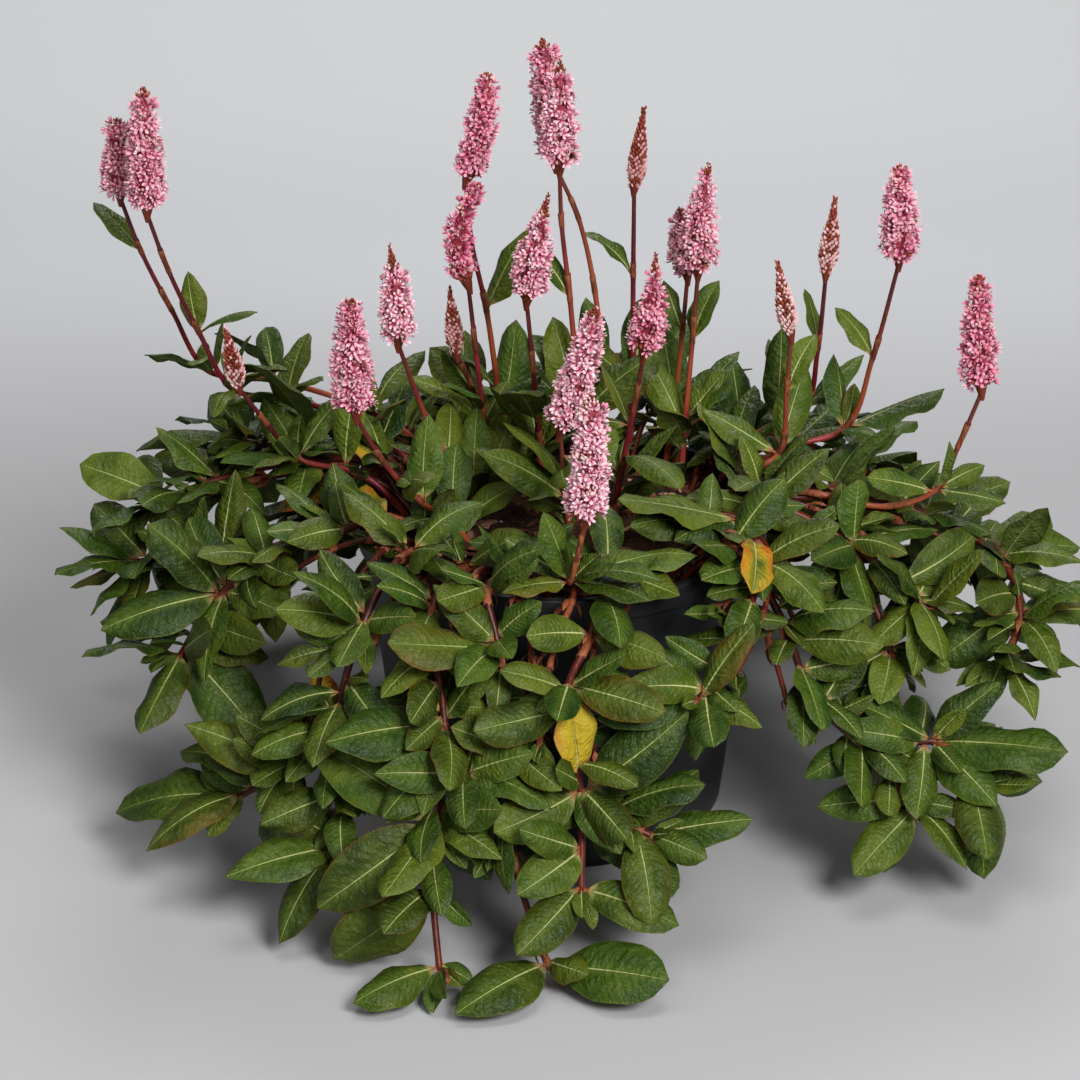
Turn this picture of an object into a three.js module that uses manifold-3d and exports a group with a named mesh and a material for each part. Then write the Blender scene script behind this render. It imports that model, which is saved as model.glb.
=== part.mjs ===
// Potted superba knotweed: a mat-forming perennial in a round nursery pot.
// Millimetres, +Z up. The origin is the middle of the pot's underside, the viewer stands at -Y.
import * as THREE from 'three';
import { mergeVertices } from 'three/addons/utils/BufferGeometryUtils.js';
import Module from 'manifold-3d';

const wasm = await Module();
wasm.setup();

// Pot
const POT_HEIGHT = 150;
const RIM_RADIUS = 95;
const RIM_DEPTH = 11;
const RIM_STEP = 2;
const RIM_CHAMFER = 1;
const WALL = 2;
const WALL_FOOT_RADIUS = 76;
const FOOT_RADIUS = 71;
const FOOT_HEIGHT = 6;
const POT_SIDES = 36;
const DRAIN_COUNT = 8;
const DRAIN_WIDTH = 16;
const DRAIN_REACH = 12;

// Compost
const COMPOST_TOP = 140;
const COMPOST_CROWN = 3;
const GAP = 0.3;
const SLIVER = 0.04;

// Plant
const FLOWER_STEM_RADIUS = 1.5;
const RUNNER_RADIUS = 2.1;
const STEM_SIDES = 5;
const BUD_LENGTH = 3;
const STEPS_PER_SPAN = 1;
const ROLL_SWING = 18;
const GOLDEN_ANGLE = 137.5;
const FULL_SPIKE_RADIUS = 8.5;
const BUD_SPIKE_RADIUS = 4.3;
const SPIKE_SIDES = 7;

// Leaves. Those shorter than the smallest are left out. A leaf begins a share of the stem's radius out
// from the stem's middle line, and its ridge is highest a share of its length along.
const LEAF_THICKNESS = 1.4;
const LEAF_WIDTH_RATIO = 0.49;
const SMALLEST_LEAF = 33;
const LEAF_ROOT_SHARE = 0.55;
const LEAF_RIDGE_SHARE = 0.4;
const LEAF_DROOP = 0.12;

// How leaves turn outward. The bands are distances from the pot's middle line, and heights.
const OUTWARD_LEAN = 1.05;
const LEAN_BAND = [55, 170];
const LOW_BAND = [20, 140];
const LOW_EXTRA = 0.4;
const SIDE_SHARE = 0.6;
const FRONT_LEAN = 0.18;
const UPRIGHT_SHARE = 0.25;

// Colour and roughness of each kind of part.
const LOOKS = {
  pot: [0x2b2d34, 0.45],
  compost: [0x241a15, 0.95],
  petals: [0xd98aa6, 0.7],
  buds: [0x8f4636, 0.7],
  stems: [0x7a2a22, 0.5],
  leaves: [0x4a6b2b, 0.5],
};

// Flowers. route: where the stem runs, from the compost to the foot of its spike. tip: the spike's end.
// tufts: leaves on the stem as [route point, [[bearing, rise, length], ...]], in degrees and millimetres.
const FLOWERS = [
  {
    route: [[-54, 44, 118], [-62, 52, 153], [-90, 72, 168], [-138, 88, 178], [-168, 84, 184],
      [-184, 74, 220], [-196, 66, 252], [-204, 60, 281]],
    tip: [-204, 60, 319],
    tufts: [[2, [[60, 45, 42]]], [3, [[95, 30, 40], [235, 40, 34], [160, 55, 36]]],
      [4, [[200, 35, 36], [280, 45, 38], [60, 50, 40]]], [6, [[160, 50, 32]]]],
  },
  {
    route: [[-56, 32, 118], [-70, 40, 153], [-90, 54, 168], [-130, 68, 177], [-155, 66, 182],
      [-170, 58, 215], [-182, 48, 250], [-190, 42, 280]],
    tip: [-189, 40, 342],
    tufts: [[2, [[310, 50, 38]]], [3, [[80, 45, 38], [300, 50, 34], [210, 25, 36]]],
      [4, [[250, 20, 36], [320, 45, 40], [130, 60, 34]]], [5, [[10, 35, 28], [150, 72, 30]]]],
  },
  {
    route: [[-55, 5, 118], [-90, 10, 162], [-122, 18, 168], [-136, 13, 188], [-148, 8, 208]],
    tip: [-153, 6, 238],
    tufts: [[2, [[60, 40, 42], [230, 30, 34]]]],
  },
  {
    route: [[-30, -15, 118], [-50, -18, 152], [-64, -22, 164], [-80, -32, 188], [-92, -40, 214]],
    tip: [-93, -42, 272],
    tufts: [[1, [[200, 25, 44], [110, 50, 40], [20, 35, 36]]]],
  },
  {
    route: [[-25, 10, 118], [-42, 12, 152], [-60, 3, 190], [-74, -8, 236]],
    tip: [-77, -10, 285],
    tufts: [[1, [[170, 45, 44], [80, 60, 42], [260, 45, 38]]]],
  },
  {
    route: [[-34, 48, 118], [-36, 62, 165], [-43, 57, 190], [-49, 50, 207]],
    tip: [-52, 50, 240],
    tufts: [[1, [[150, 60, 44], [60, 50, 42]]]],
  },
  {
    route: [[-20, 58, 118], [-28, 61, 170], [-35, 60, 225], [-42, 58, 262], [-44, 58, 290]],
    tip: [-34, 58, 342],
    tufts: [[1, [[45, 72, 46], [120, 30, 40]]], [2, [[20, 68, 44]]]],
  },
  {
    route: [[-28, 38, 118], [-36, 40, 175], [-40, 40, 215], [-43, 38, 246]],
    tip: [-38, 38, 296],
    tufts: [[1, [[200, 55, 42], [330, 70, 40]]]],
  },
  {
    route: [[20, 70, 118], [20, 80, 180], [16, 85, 225], [8, 85, 262], [-3, 85, 288]],
    tip: [-9, 85, 350],
    tufts: [[1, [[100, 55, 44], [20, 50, 40]]]],
  },
  {
    route: [[8, 48, 118], [8, 50, 180], [4, 50, 235], [0, 50, 272], [-1, 50, 298]],
    tip: [-1, 50, 351],
    tufts: [[1, [[150, 70, 44], [280, 65, 38]]], [2, [[160, 74, 34]]]],
  },
  {
    route: [[-8, 20, 118], [-10, 18, 170], [-13, 12, 215], [-16, 8, 250]],
    tip: [-6, 2, 305],
    tufts: [[1, [[200, 60, 42], [110, 65, 42], [310, 50, 36]]]],
  },
  {
    route: [[32, 68, 118], [34, 76, 180], [34, 80, 235], [34, 80, 278]],
    tip: [38, 80, 318],
    tufts: [[1, [[70, 55, 44], [180, 60, 40]]], [2, [[150, 50, 30]]]],
  },
  {
    route: [[55, 40, 118], [58, 45, 170], [61, 46, 215], [63, 45, 249]],
    tip: [67, 42, 305],
    tufts: [[1, [[30, 60, 44], [120, 60, 42], [250, 55, 38]]], [2, [[40, 72, 30]]]],
  },
  {
    route: [[46, 58, 118], [53, 62, 170], [57, 64, 212], [59, 64, 240]],
    tip: [55, 66, 274],
    tufts: [[1, [[90, 55, 44], [330, 60, 36]]], [2, [[140, 65, 26]]]],
  },
  {
    route: [[22, 5, 118], [27, 4, 165], [33, 2, 200], [37, 0, 227]],
    tip: [42, 0, 277],
    tufts: [[1, [[130, 60, 40], [350, 50, 38]]]],
  },
  {
    route: [[6, -12, 118], [2, -20, 165], [-1, -28, 201]],
    tip: [15, -30, 264],
    tufts: [[1, [[190, 45, 44], [40, 55, 40], [300, 35, 36]]]],
  },
  {
    route: [[0, -45, 118], [2, -78, 160], [3, -99, 161], [6, -100, 172], [9, -97, 187]],
    tip: [12, -96, 249],
    tufts: [[2, [[190, 75, 36], [210, 5, 34], [330, 15, 42], [345, 30, 42]]]],
  },
  {
    route: [[62, 8, 118], [88, 10, 163], [101, 12, 174], [103, 8, 205], [104, 5, 235]],
    tip: [97, 4, 271],
    tufts: [[2, [[60, 60, 44], [155, 25, 42], [330, 0, 30]]], [3, [[50, 65, 30]]]],
  },
  {
    route: [[56, 28, 118], [90, 42, 168], [114, 48, 180], [119, 38, 215], [121, 30, 255]],
    tip: [124, 30, 292],
    tufts: [[2, [[110, 45, 42], [20, 40, 40], [250, 45, 34]]], [3, [[100, 65, 28]]]],
  },
  {
    route: [[62, 18, 118], [98, 25, 167], [132, 30, 178], [143, 20, 218], [152, 8, 269]],
    tip: [151, 8, 316],
    tufts: [[2, [[15, 20, 52], [90, 45, 40], [300, 30, 34]]], [3, [[150, 60, 28]]]],
  },
  {
    route: [[62, -8, 118], [80, -9, 154], [106, -10, 164], [150, -13, 158], [172, -15, 168],
      [180, -17, 190], [189, -20, 218]],
    tip: [185, -20, 275],
    tufts: [[4, [[20, 25, 26], [345, 10, 32], [200, 25, 36]]]],
  },
];

// The flowers that are still in bud have thin, pointed spikes.
const BUDS = [3, 6, 12, 18, 19];

// Leafy runners. Each branch is a path with tufts of leaves at some of its points, as
// [path point, [[bearing, rise, length], ...]]. A later branch starts on an earlier one.
const RUNNERS = {
  left: [
    {
      path: [[-45, 14, 118], [-84, 28, 161], [-125, 34, 159], [-166, 28, 151], [-190, 23, 142]],
      tufts: [
        [1, [[100, 35, 42], [180, 15, 36], [260, 30, 38]]],
        [2, [[210, 30, 40], [300, 25, 36], [110, 40, 38], [245, -5, 36]]],
        [3, [[125, 15, 50], [210, 20, 35], [325, 5, 38], [250, 15, 42], [175, 50, 38]]],
        [4, [[300, -10, 38], [220, 10, 45], [120, 10, 40], [190, -25, 46], [255, -30, 44],
          [165, 20, 46]]],
      ],
    },
  ],
  left_low: [
    {
      path: [[-40, -18, 118], [-80, -32, 160], [-101, -38, 157], [-137, -34, 140], [-156, -39, 125],
        [-174, -49, 100]],
      tufts: [
        [1, [[125, 12, 38], [250, -12, 24], [200, 35, 38]]],
        [2, [[200, 15, 36], [335, 0, 38], [100, 30, 36]]],
        [3, [[310, 5, 30], [255, 5, 28], [110, 50, 28], [220, 30, 40], [270, -25, 38]]],
        [4, [[190, 60, 46], [210, 5, 55], [320, 5, 42], [250, -25, 42], [140, 35, 40]]],
        [5, [[210, 30, 52], [255, -10, 48], [320, -25, 56], [345, 10, 36], [60, 10, 34]]],
      ],
    },
    {
      path: [[-137, -34, 140], [-166, -8, 132], [-197, 3, 122]],
      tufts: [
        [1, [[240, 15, 44], [130, 45, 38], [300, 15, 36]]],
        [2, [[190, 40, 42], [220, 20, 46], [230, -10, 42], [265, -5, 38], [150, 30, 44], [70, 5, 40]]],
      ],
    },
  ],
  left_top: [
    {
      path: [[-46, 20, 118], [-76, 33, 156], [-87, 38, 161], [-118, 48, 158], [-150, 60, 158]],
      tufts: [
        [2, [[80, 50, 42], [250, 35, 38], [180, 40, 40]]],
        [3, [[285, 20, 38], [110, 35, 44], [230, 25, 42], [160, 68, 62]]],
        [4, [[178, 4, 62], [120, 25, 44], [240, 10, 42], [215, -15, 40], [60, 45, 38]]],
      ],
    },
    {
      path: [[-118, 48, 158], [-146, 92, 146], [-160, 118, 120]],
      tufts: [[1, [[160, 15, 44], [60, 20, 42]]], [2, [[130, 0, 46], [190, 0, 44], [80, -10, 40]]]],
    },
  ],
  front_left: [
    {
      path: [[-34, -34, 118], [-68, -70, 162], [-88, -103, 142], [-100, -112, 95], [-98, -120, 62],
        [-97, -126, 44]],
      tufts: [
        [1, [[150, 35, 40], [290, 20, 38], [40, 45, 36]]],
        [2, [[235, 60, 44], [195, 25, 40], [315, 25, 30], [250, -10, 34], [150, 35, 38]]],
        [3, [[200, 10, 38], [280, -20, 34], [140, 42, 34]]],
        [5, [[205, 5, 56], [165, 25, 43], [225, -20, 50], [130, 15, 30], [300, -10, 34]]],
      ],
    },
    {
      path: [[-100, -112, 95], [-122, -98, 68], [-146, -88, 48]],
      tufts: [
        [1, [[180, 30, 50], [210, 45, 32], [230, 0, 28]]],
        [2, [[170, 0, 62], [110, 35, 38], [205, -8, 48], [215, -25, 26], [60, 10, 30]]],
      ],
    },
  ],
  front_left_long: [
    {
      path: [[-24, -34, 118], [-44, -76, 157], [-57, -100, 150], [-52, -128, 106], [-56, -146, 66],
        [-57, -160, 42], [-54, -178, 13]],
      tufts: [
        [1, [[120, 40, 38], [210, -15, 30], [330, 35, 36]]],
        [2, [[200, 20, 44], [250, -10, 34], [150, 40, 36]]],
        [3, [[205, 12, 56], [5, 40, 46], [110, 55, 35], [240, 0, 30], [165, 20, 34]]],
        [4, [[165, 30, 66], [212, -25, 62], [240, -25, 52], [320, -5, 36], [335, 12, 40]]],
        [5, [[218, 8, 40], [205, -35, 54]]],
        [6, [[215, -2, 42], [330, -5, 18]]],
      ],
    },
    {
      path: [[-52, -128, 106], [-42, -142, 88]],
      tufts: [[1, [[195, 20, 44], [330, 35, 34], [345, 5, 40], [260, -15, 34]]]],
    },
  ],
  front: [
    {
      path: [[16, -38, 118], [20, -82, 160], [12, -118, 144], [2, -130, 124], [8, -142, 78],
        [8, -160, 42]],
      tufts: [
        [1, [[200, 35, 38], [350, 30, 38], [90, 50, 34]]],
        [2, [[330, 10, 38], [210, 20, 34]]],
        [3, [[195, 30, 32], [340, 40, 34], [325, 5, 46], [260, 0, 32]]],
        [4, [[175, 42, 52], [5, 36, 58], [215, -5, 44], [322, -5, 38], [285, -40, 32], [250, 35, 26],
          [200, 72, 40]]],
        [5, [[330, 3, 44], [240, -12, 42]]],
      ],
    },
    {
      path: [[8, -142, 78], [24, -146, 68], [38, -148, 62]],
      tufts: [
        [1, [[350, 30, 34]]],
        [2, [[5, 12, 46], [332, -8, 30], [300, -45, 30], [35, 50, 36]]],
      ],
    },
  ],
  front_long: [
    {
      path: [[-4, -52, 118], [-20, -86, 160], [-33, -103, 160], [-28, -118, 138], [-24, -136, 98],
        [-22, -150, 55], [-10, -168, 18], [-6, -174, 11]],
      tufts: [
        [1, [[190, 35, 38], [30, 40, 36]]],
        [2, [[305, 60, 38], [335, 8, 38], [235, 10, 34]]],
        [3, [[205, 15, 52], [230, -5, 38], [195, 30, 40], [290, 5, 34], [190, -70, 20]]],
        [4, [[215, 10, 36], [310, -10, 34]]],
        [7, [[335, 2, 56], [222, 0, 52], [285, -5, 34]]],
      ],
    },
  ],
  front_right: [
    {
      path: [[36, -26, 118], [66, -44, 160], [80, -50, 168], [88, -68, 154], [74, -104, 132],
        [60, -124, 116]],
      tufts: [
        [1, [[214, 38, 40], [64, 35, 38], [316, 28, 36]]],
        [2, [[192, 20, 58], [200, -5, 42], [355, 30, 30]]],
        [3, [[200, 12, 38], [350, 45, 40], [315, 8, 40], [255, -20, 32]]],
        [5, [[345, 65, 40], [205, 0, 46], [325, 5, 28], [190, 45, 28], [270, -25, 34]]],
      ],
    },
  ],
  right_low: [
    {
      path: [[46, -34, 118], [76, -62, 161], [99, -72, 128], [112, -78, 96], [136, -80, 72],
        [168, -80, 72]],
      tufts: [
        [1, [[30, 35, 42], [250, 25, 38], [140, 40, 34]]],
        [2, [[335, 35, 42], [165, 20, 42], [220, 0, 34]]],
        [4, [[225, -12, 30], [305, 5, 30], [80, 25, 34]]],
        [5, [[178, 30, 38], [355, 50, 40], [345, 8, 64], [265, -25, 38], [210, 15, 40], [75, 20, 40]]],
      ],
    },
    {
      path: [[136, -80, 72], [160, -98, 48]],
      tufts: [[1, [[220, -25, 44], [318, -20, 38], [335, 0, 26], [200, 0, 40]]]],
    },
    {
      path: [[168, -80, 72], [188, -88, 54]],
      tufts: [[1, [[328, 15, 28], [20, 0, 40], [60, 25, 26]]]],
    },
  ],
  right: [
    {
      path: [[54, -18, 118], [92, -24, 162], [133, -30, 146], [166, -46, 122]],
      tufts: [
        [1, [[10, 50, 40], [290, 20, 36], [200, 30, 34]]],
        [2, [[5, 58, 45], [230, -15, 28], [280, -25, 40], [325, 25, 30], [95, 25, 38]]],
        [3, [[330, 55, 42], [195, 60, 40], [265, -20, 34], [235, -10, 32], [345, 10, 26], [60, 20, 36]]],
      ],
    },
    {
      path: [[133, -30, 146], [150, -50, 102]],
      tufts: [[1, [[262, -20, 30], [208, -18, 38], [330, 10, 30]]]],
    },
  ],
  right_far: [
    {
      path: [[58, -2, 118], [94, 2, 161], [128, 0, 160], [168, 4, 146], [203, -10, 130], [210, -38, 112],
        [202, -44, 94]],
      tufts: [
        [1, [[20, 40, 40], [250, 20, 38], [120, 35, 38]]],
        [2, [[340, 62, 42], [245, -30, 28], [190, 15, 34], [60, 35, 38]]],
        [3, [[70, 10, 42], [330, 10, 36], [200, 35, 38], [270, 25, 38]]],
        [4, [[330, 60, 44], [340, 35, 38], [200, 20, 30], [110, 10, 36], [40, 10, 40], [270, 20, 38]]],
        [5, [[332, 55, 40], [5, 15, 38], [335, 5, 38], [215, 10, 26]]],
        [6, [[325, 5, 30], [300, -20, 32], [250, -20, 28], [350, -10, 34]]],
      ],
    },
  ],
  right_rear: [
    {
      path: [[62, 36, 118], [72, 45, 152], [86, 60, 161], [112, 78, 150], [146, 96, 128], [172, 108, 100],
        [184, 112, 72]],
      tufts: [
        [2, [[100, 50, 42], [0, 40, 36]]],
        [3, [[40, 25, 44], [110, 20, 42], [340, 30, 36]]],
        [4, [[355, 10, 44], [95, 5, 46], [50, 35, 40]]],
        [5, [[20, 10, 46], [80, 0, 44], [330, 5, 40], [130, 0, 38]]],
        [6, [[35, -10, 46], [350, -5, 42], [90, -15, 42], [200, -10, 34]]],
      ],
    },
    {
      path: [[146, 96, 128], [178, 66, 116], [200, 50, 96]],
      tufts: [
        [1, [[10, 25, 42], [320, 10, 36]]],
        [2, [[340, 5, 44], [30, 0, 44], [60, 30, 36], [300, -10, 36]]],
      ],
    },
  ],
  rear_right: [
    {
      path: [[36, 52, 118], [46, 70, 154], [56, 88, 161], [66, 112, 146], [78, 140, 108], [92, 166, 64],
        [102, 184, 30]],
      tufts: [
        [2, [[130, 45, 42], [30, 45, 40]]],
        [3, [[60, 20, 46], [120, 10, 42], [0, 20, 38]]],
        [4, [[90, 15, 48], [30, 10, 44], [150, 5, 42], [60, 50, 36]]],
        [5, [[50, 10, 46], [110, 0, 46], [345, 0, 42], [165, 5, 40]]],
        [6, [[70, -8, 46], [15, -5, 46], [130, -8, 44], [200, 0, 34]]],
      ],
    },
    {
      path: [[78, 140, 108], [118, 144, 84], [144, 146, 58]],
      tufts: [
        [1, [[30, 15, 44], [80, 10, 40]]],
        [2, [[45, -5, 46], [345, -5, 44], [100, -5, 42], [20, 40, 34]]],
      ],
    },
  ],
  rear: [
    {
      path: [[6, 62, 118], [4, 92, 161], [0, 118, 144], [-4, 142, 104], [2, 164, 60], [6, 184, 22],
        [8, 196, 12]],
      tufts: [
        [1, [[60, 50, 42], [140, 45, 42]]],
        [2, [[70, 15, 46], [130, 15, 44], [20, 15, 38], [180, 10, 36]]],
        [3, [[95, 20, 48], [40, 10, 44], [155, 5, 44]]],
        [4, [[70, 10, 48], [125, 5, 46], [10, 0, 42], [180, 6, 42]]],
        [6, [[85, 0, 46], [30, 0, 46], [145, 0, 44]]],
      ],
    },
    {
      path: [[-4, 142, 104], [32, 158, 74]],
      tufts: [[1, [[75, 5, 44], [20, -5, 42], [140, 20, 34]]]],
    },
  ],
  rear_left: [
    {
      path: [[-28, 57, 118], [-36, 73, 154], [-46, 92, 160], [-58, 118, 140], [-70, 142, 100],
        [-82, 164, 56], [-90, 182, 22]],
      tufts: [
        [2, [[100, 50, 42], [190, 40, 38]]],
        [3, [[110, 15, 46], [60, 15, 42], [165, 10, 42]]],
        [4, [[130, 15, 48], [75, 5, 46], [180, 5, 44], [110, 50, 36]]],
        [5, [[105, 5, 46], [155, 0, 46], [50, 0, 42], [205, 0, 38]]],
        [6, [[120, -5, 46], [70, -5, 44], [170, -5, 44], [20, 0, 34]]],
      ],
    },
    {
      path: [[-70, 142, 100], [-44, 168, 66]],
      tufts: [[1, [[100, 0, 44], [50, -5, 42], [150, 10, 36]]]],
    },
  ],
  left_rear: [
    {
      path: [[-40, 50, 118], [-54, 64, 154], [-76, 90, 158], [-98, 108, 134], [-118, 130, 92],
        [-134, 150, 52], [-144, 160, 24]],
      tufts: [
        [3, [[150, 10, 44], [100, 15, 42], [215, 10, 38]]],
        [4, [[135, 15, 46], [185, 0, 46], [80, 5, 42]]],
        [5, [[140, 5, 46], [95, 0, 42], [195, 0, 44], [60, 0, 36]]],
        [6, [[130, -5, 44], [180, -5, 46], [225, 0, 42], [85, -5, 40]]],
      ],
    },
    {
      path: [[-118, 130, 92], [-160, 100, 76], [-186, 84, 56]],
      tufts: [
        [1, [[150, 15, 44], [215, 5, 42], [100, 30, 36]]],
        [2, [[160, 0, 46], [200, 5, 46], [240, -5, 40], [120, -5, 40]]],
      ],
    },
  ],
};

// Solids, joins and cuts

function toSolid(geometry) {
  const bare = geometry.clone();
  bare.deleteAttribute('normal');
  bare.deleteAttribute('uv');
  const merged = mergeVertices(bare, 1e-4);
  const vertProperties = new Float32Array(merged.attributes.position.array);
  const triVerts = new Uint32Array(merged.index.array);
  return new wasm.Manifold(new wasm.Mesh({ numProp: 3, vertProperties, triVerts }));
}

function toGeometry(solid) {
  const mesh = solid.getMesh();
  const geometry = new THREE.BufferGeometry();
  geometry.setAttribute('position', new THREE.BufferAttribute(mesh.vertProperties, mesh.numProp));
  geometry.setIndex(new THREE.BufferAttribute(mesh.triVerts, 1));
  geometry.computeVertexNormals();
  return geometry;
}

// One solid from several, without the sliver faces that thin leaves leave where they cross.
function joined(solids) {
  return solids.reduce((whole, next) => whole.add(next)).simplify(SLIVER);
}

function toVector(point) {
  return new THREE.Vector3(...point);
}

function ringShape(radius, sides) {
  const corners = [];
  for (let side = 0; side < sides; side += 1) {
    const turn = (side / sides) * 2 * Math.PI;
    corners.push(new THREE.Vector2(radius * Math.cos(turn), radius * Math.sin(turn)));
  }
  return new THREE.Shape(corners);
}

// A curve whose even steps land on the points that it was given, so leaves grow on the stem's middle line.
class StemCurve extends THREE.CatmullRomCurve3 {
  getPointAt(share, target) {
    return this.getPoint(share, target);
  }

  getTangentAt(share, target) {
    return this.getTangent(share, target);
  }
}

// A round stem through the given points.
function stemSolid(points, radius) {
  const curve = new StemCurve(points.map(toVector), false, 'centripetal');
  const steps = (points.length - 1) * STEPS_PER_SPAN;
  const options = { steps, extrudePath: curve, bevelEnabled: false };
  return toSolid(new THREE.ExtrudeGeometry(ringShape(radius, STEM_SIDES), options));
}

// Unit vector of a compass bearing (0 is +X, 90 is +Y) that rises by so many degrees.
function heading(bearing, rise) {
  const turn = THREE.MathUtils.degToRad(bearing);
  const lift = THREE.MathUtils.degToRad(rise);
  const level = Math.cos(lift);
  return new THREE.Vector3(level * Math.cos(turn), level * Math.sin(turn), Math.sin(lift));
}

// Outline of a leaf as [share of its length, share of its width], one side and then the other.
const LEAF_OUTLINE = [[0, 0], [0.42, -0.5], [0.75, -0.36], [1, 0], [0.75, 0.36], [0.42, 0.5]];

// The way leaves near a point turn their upper faces: up over the pot, and outward down its sides.
function leafFacing(point) {
  const reach = Math.hypot(point.x, point.y);
  const low = 1 - THREE.MathUtils.smoothstep(point.z, ...LOW_BAND);
  const lean = OUTWARD_LEAN * THREE.MathUtils.smoothstep(reach, ...LEAN_BAND) * (1 + LOW_EXTRA * low);
  const aside = (SIDE_SHARE * lean * point.x) / reach;
  return new THREE.Vector3(aside, (lean * point.y) / reach - FRONT_LEAN, 1).normalize();
}

// The way a leaf's upper face looks: square to the leaf's length, and turned about it by roll degrees.
function leafUp(base, bearing, rise, length, roll) {
  const along = heading(bearing, rise);
  const up = leafFacing(base.clone().addScaledVector(along, length / 2));
  up.addScaledVector(along, -along.dot(up)).addScaledVector(heading(bearing, rise + 90), UPRIGHT_SHARE);
  return up.normalize().applyAxisAngle(along, THREE.MathUtils.degToRad(roll));
}

// A thin leaf with a ridge on each face, that droops towards its tip.
function leafSolid(base, start, bearing, rise, length, roll) {
  const along = heading(bearing, rise);
  const up = leafUp(base, bearing, rise, length, roll);
  const across = new THREE.Vector3().crossVectors(up, along);
  const width = length * LEAF_WIDTH_RATIO;
  const place = (share, side, height) => base.clone()
    .addScaledVector(along, start + share * (length - start))
    .addScaledVector(across, side * width)
    .addScaledVector(up, height - LEAF_DROOP * length * share * share);
  const corners = LEAF_OUTLINE.map(([share, side]) => place(share, side, 0));
  const half = LEAF_THICKNESS / 2;
  corners.push(place(LEAF_RIDGE_SHARE, 0, half), place(LEAF_RIDGE_SHARE, 0, -half));
  const top = LEAF_OUTLINE.length;
  const faces = [];
  for (let corner = 0; corner < top; corner += 1) {
    const next = (corner + 1) % top;
    faces.push(top, corner, next, top + 1, next, corner);
  }
  const geometry = new THREE.BufferGeometry().setFromPoints(corners);
  geometry.setIndex(faces);
  return toSolid(geometry);
}

// Pot and compost

function lathe(profile, sides) {
  const points = profile.map(([radius, height]) => new THREE.Vector2(radius, height));
  const geometry = new THREE.LatheGeometry(points, sides);
  geometry.rotateX(Math.PI / 2);
  return toSolid(geometry);
}

function wallRadius(height) {
  const share = (height - FOOT_HEIGHT) / (POT_HEIGHT - FOOT_HEIGHT);
  return WALL_FOOT_RADIUS + share * (RIM_RADIUS - RIM_STEP - WALL_FOOT_RADIUS);
}

function potSolid() {
  const rimBottom = POT_HEIGHT - RIM_DEPTH;
  const innerFoot = FOOT_HEIGHT + WALL;
  const profile = [
    [0, 0],
    [FOOT_RADIUS, 0],
    [FOOT_RADIUS, FOOT_HEIGHT],
    [WALL_FOOT_RADIUS, FOOT_HEIGHT],
    [wallRadius(rimBottom), rimBottom],
    [RIM_RADIUS, rimBottom + RIM_CHAMFER],
    [RIM_RADIUS, POT_HEIGHT - RIM_CHAMFER],
    [RIM_RADIUS - RIM_CHAMFER, POT_HEIGHT],
    [wallRadius(POT_HEIGHT) - WALL, POT_HEIGHT],
    [wallRadius(innerFoot) - WALL, innerFoot],
    [FOOT_RADIUS - WALL, innerFoot],
    [FOOT_RADIUS - WALL, WALL],
    [0, WALL],
  ];
  let pot = lathe(profile, POT_SIDES);
  for (let drain = 0; drain < DRAIN_COUNT; drain += 1) {
    const slot = new THREE.BoxGeometry(DRAIN_REACH, DRAIN_WIDTH, FOOT_HEIGHT - WALL);
    slot.translate(FOOT_RADIUS, 0, WALL + (FOOT_HEIGHT - WALL) / 2);
    slot.rotateZ(((drain + 0.5) / DRAIN_COUNT) * 2 * Math.PI);
    pot = pot.subtract(toSolid(slot));
  }
  return pot;
}

function compostSolid(rootedStems) {
  const innerFoot = FOOT_HEIGHT + WALL + GAP;
  const profile = [
    [0, WALL + GAP],
    [FOOT_RADIUS - WALL - GAP, WALL + GAP],
    [FOOT_RADIUS - WALL - GAP, innerFoot],
    [wallRadius(innerFoot) - WALL - GAP, innerFoot],
    [wallRadius(COMPOST_TOP) - WALL - GAP, COMPOST_TOP],
    [0, COMPOST_TOP + COMPOST_CROWN],
  ];
  return rootedStems.reduce((compost, stem) => compost.subtract(stem), lathe(profile, POT_SIDES));
}

// Outline of a spike as [share of its radius, share of its length], from its foot to its tip.
const SPIKE_OUTLINE = [[0, 0], [0.55, 0], [1, 0.25], [0.85, 0.7], [0.35, 0.93], [0, 1]];

// Flower spike: a tapered body from just above its stem to its tip. Where it leans away from the
// stem below it, its foot rises until it clears the stem's end.
function spikeSolid(route, tip, radius) {
  const foot = route.at(-1);
  const axis = toVector(tip).sub(toVector(foot));
  const lean = axis.angleTo(toVector(foot).sub(toVector(route.at(-2))));
  const seat = GAP + FLOWER_STEM_RADIUS * Math.sin(lean);
  const length = axis.length() - seat;
  const points = SPIKE_OUTLINE.map(([across, height]) => new THREE.Vector2(across * radius, height * length));
  const geometry = new THREE.LatheGeometry(points, SPIKE_SIDES);
  const direction = axis.normalize();
  geometry.applyQuaternion(new THREE.Quaternion().setFromUnitVectors(new THREE.Vector3(0, 1, 0), direction));
  const start = toVector(foot).addScaledVector(direction, seat);
  geometry.translate(start.x, start.y, start.z);
  return toSolid(geometry);
}

// Each shoot is its stems and the leaves wanted on it. The stems are made first, then the leaves.
function flowerShoot(flower, number) {
  const name = `flower_stem_${String(number).padStart(2, '0')}`;
  const branches = [{ path: flower.route, tufts: flower.tufts }];
  return { name, branches, radius: FLOWER_STEM_RADIUS, leafyTip: false };
}

// A leafy stem ends in a short bud past its last tuft.
function withBud(path) {
  const end = toVector(path.at(-1));
  const onward = end.clone().sub(toVector(path.at(-2))).setLength(BUD_LENGTH);
  return [...path, end.add(onward).toArray()];
}

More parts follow.
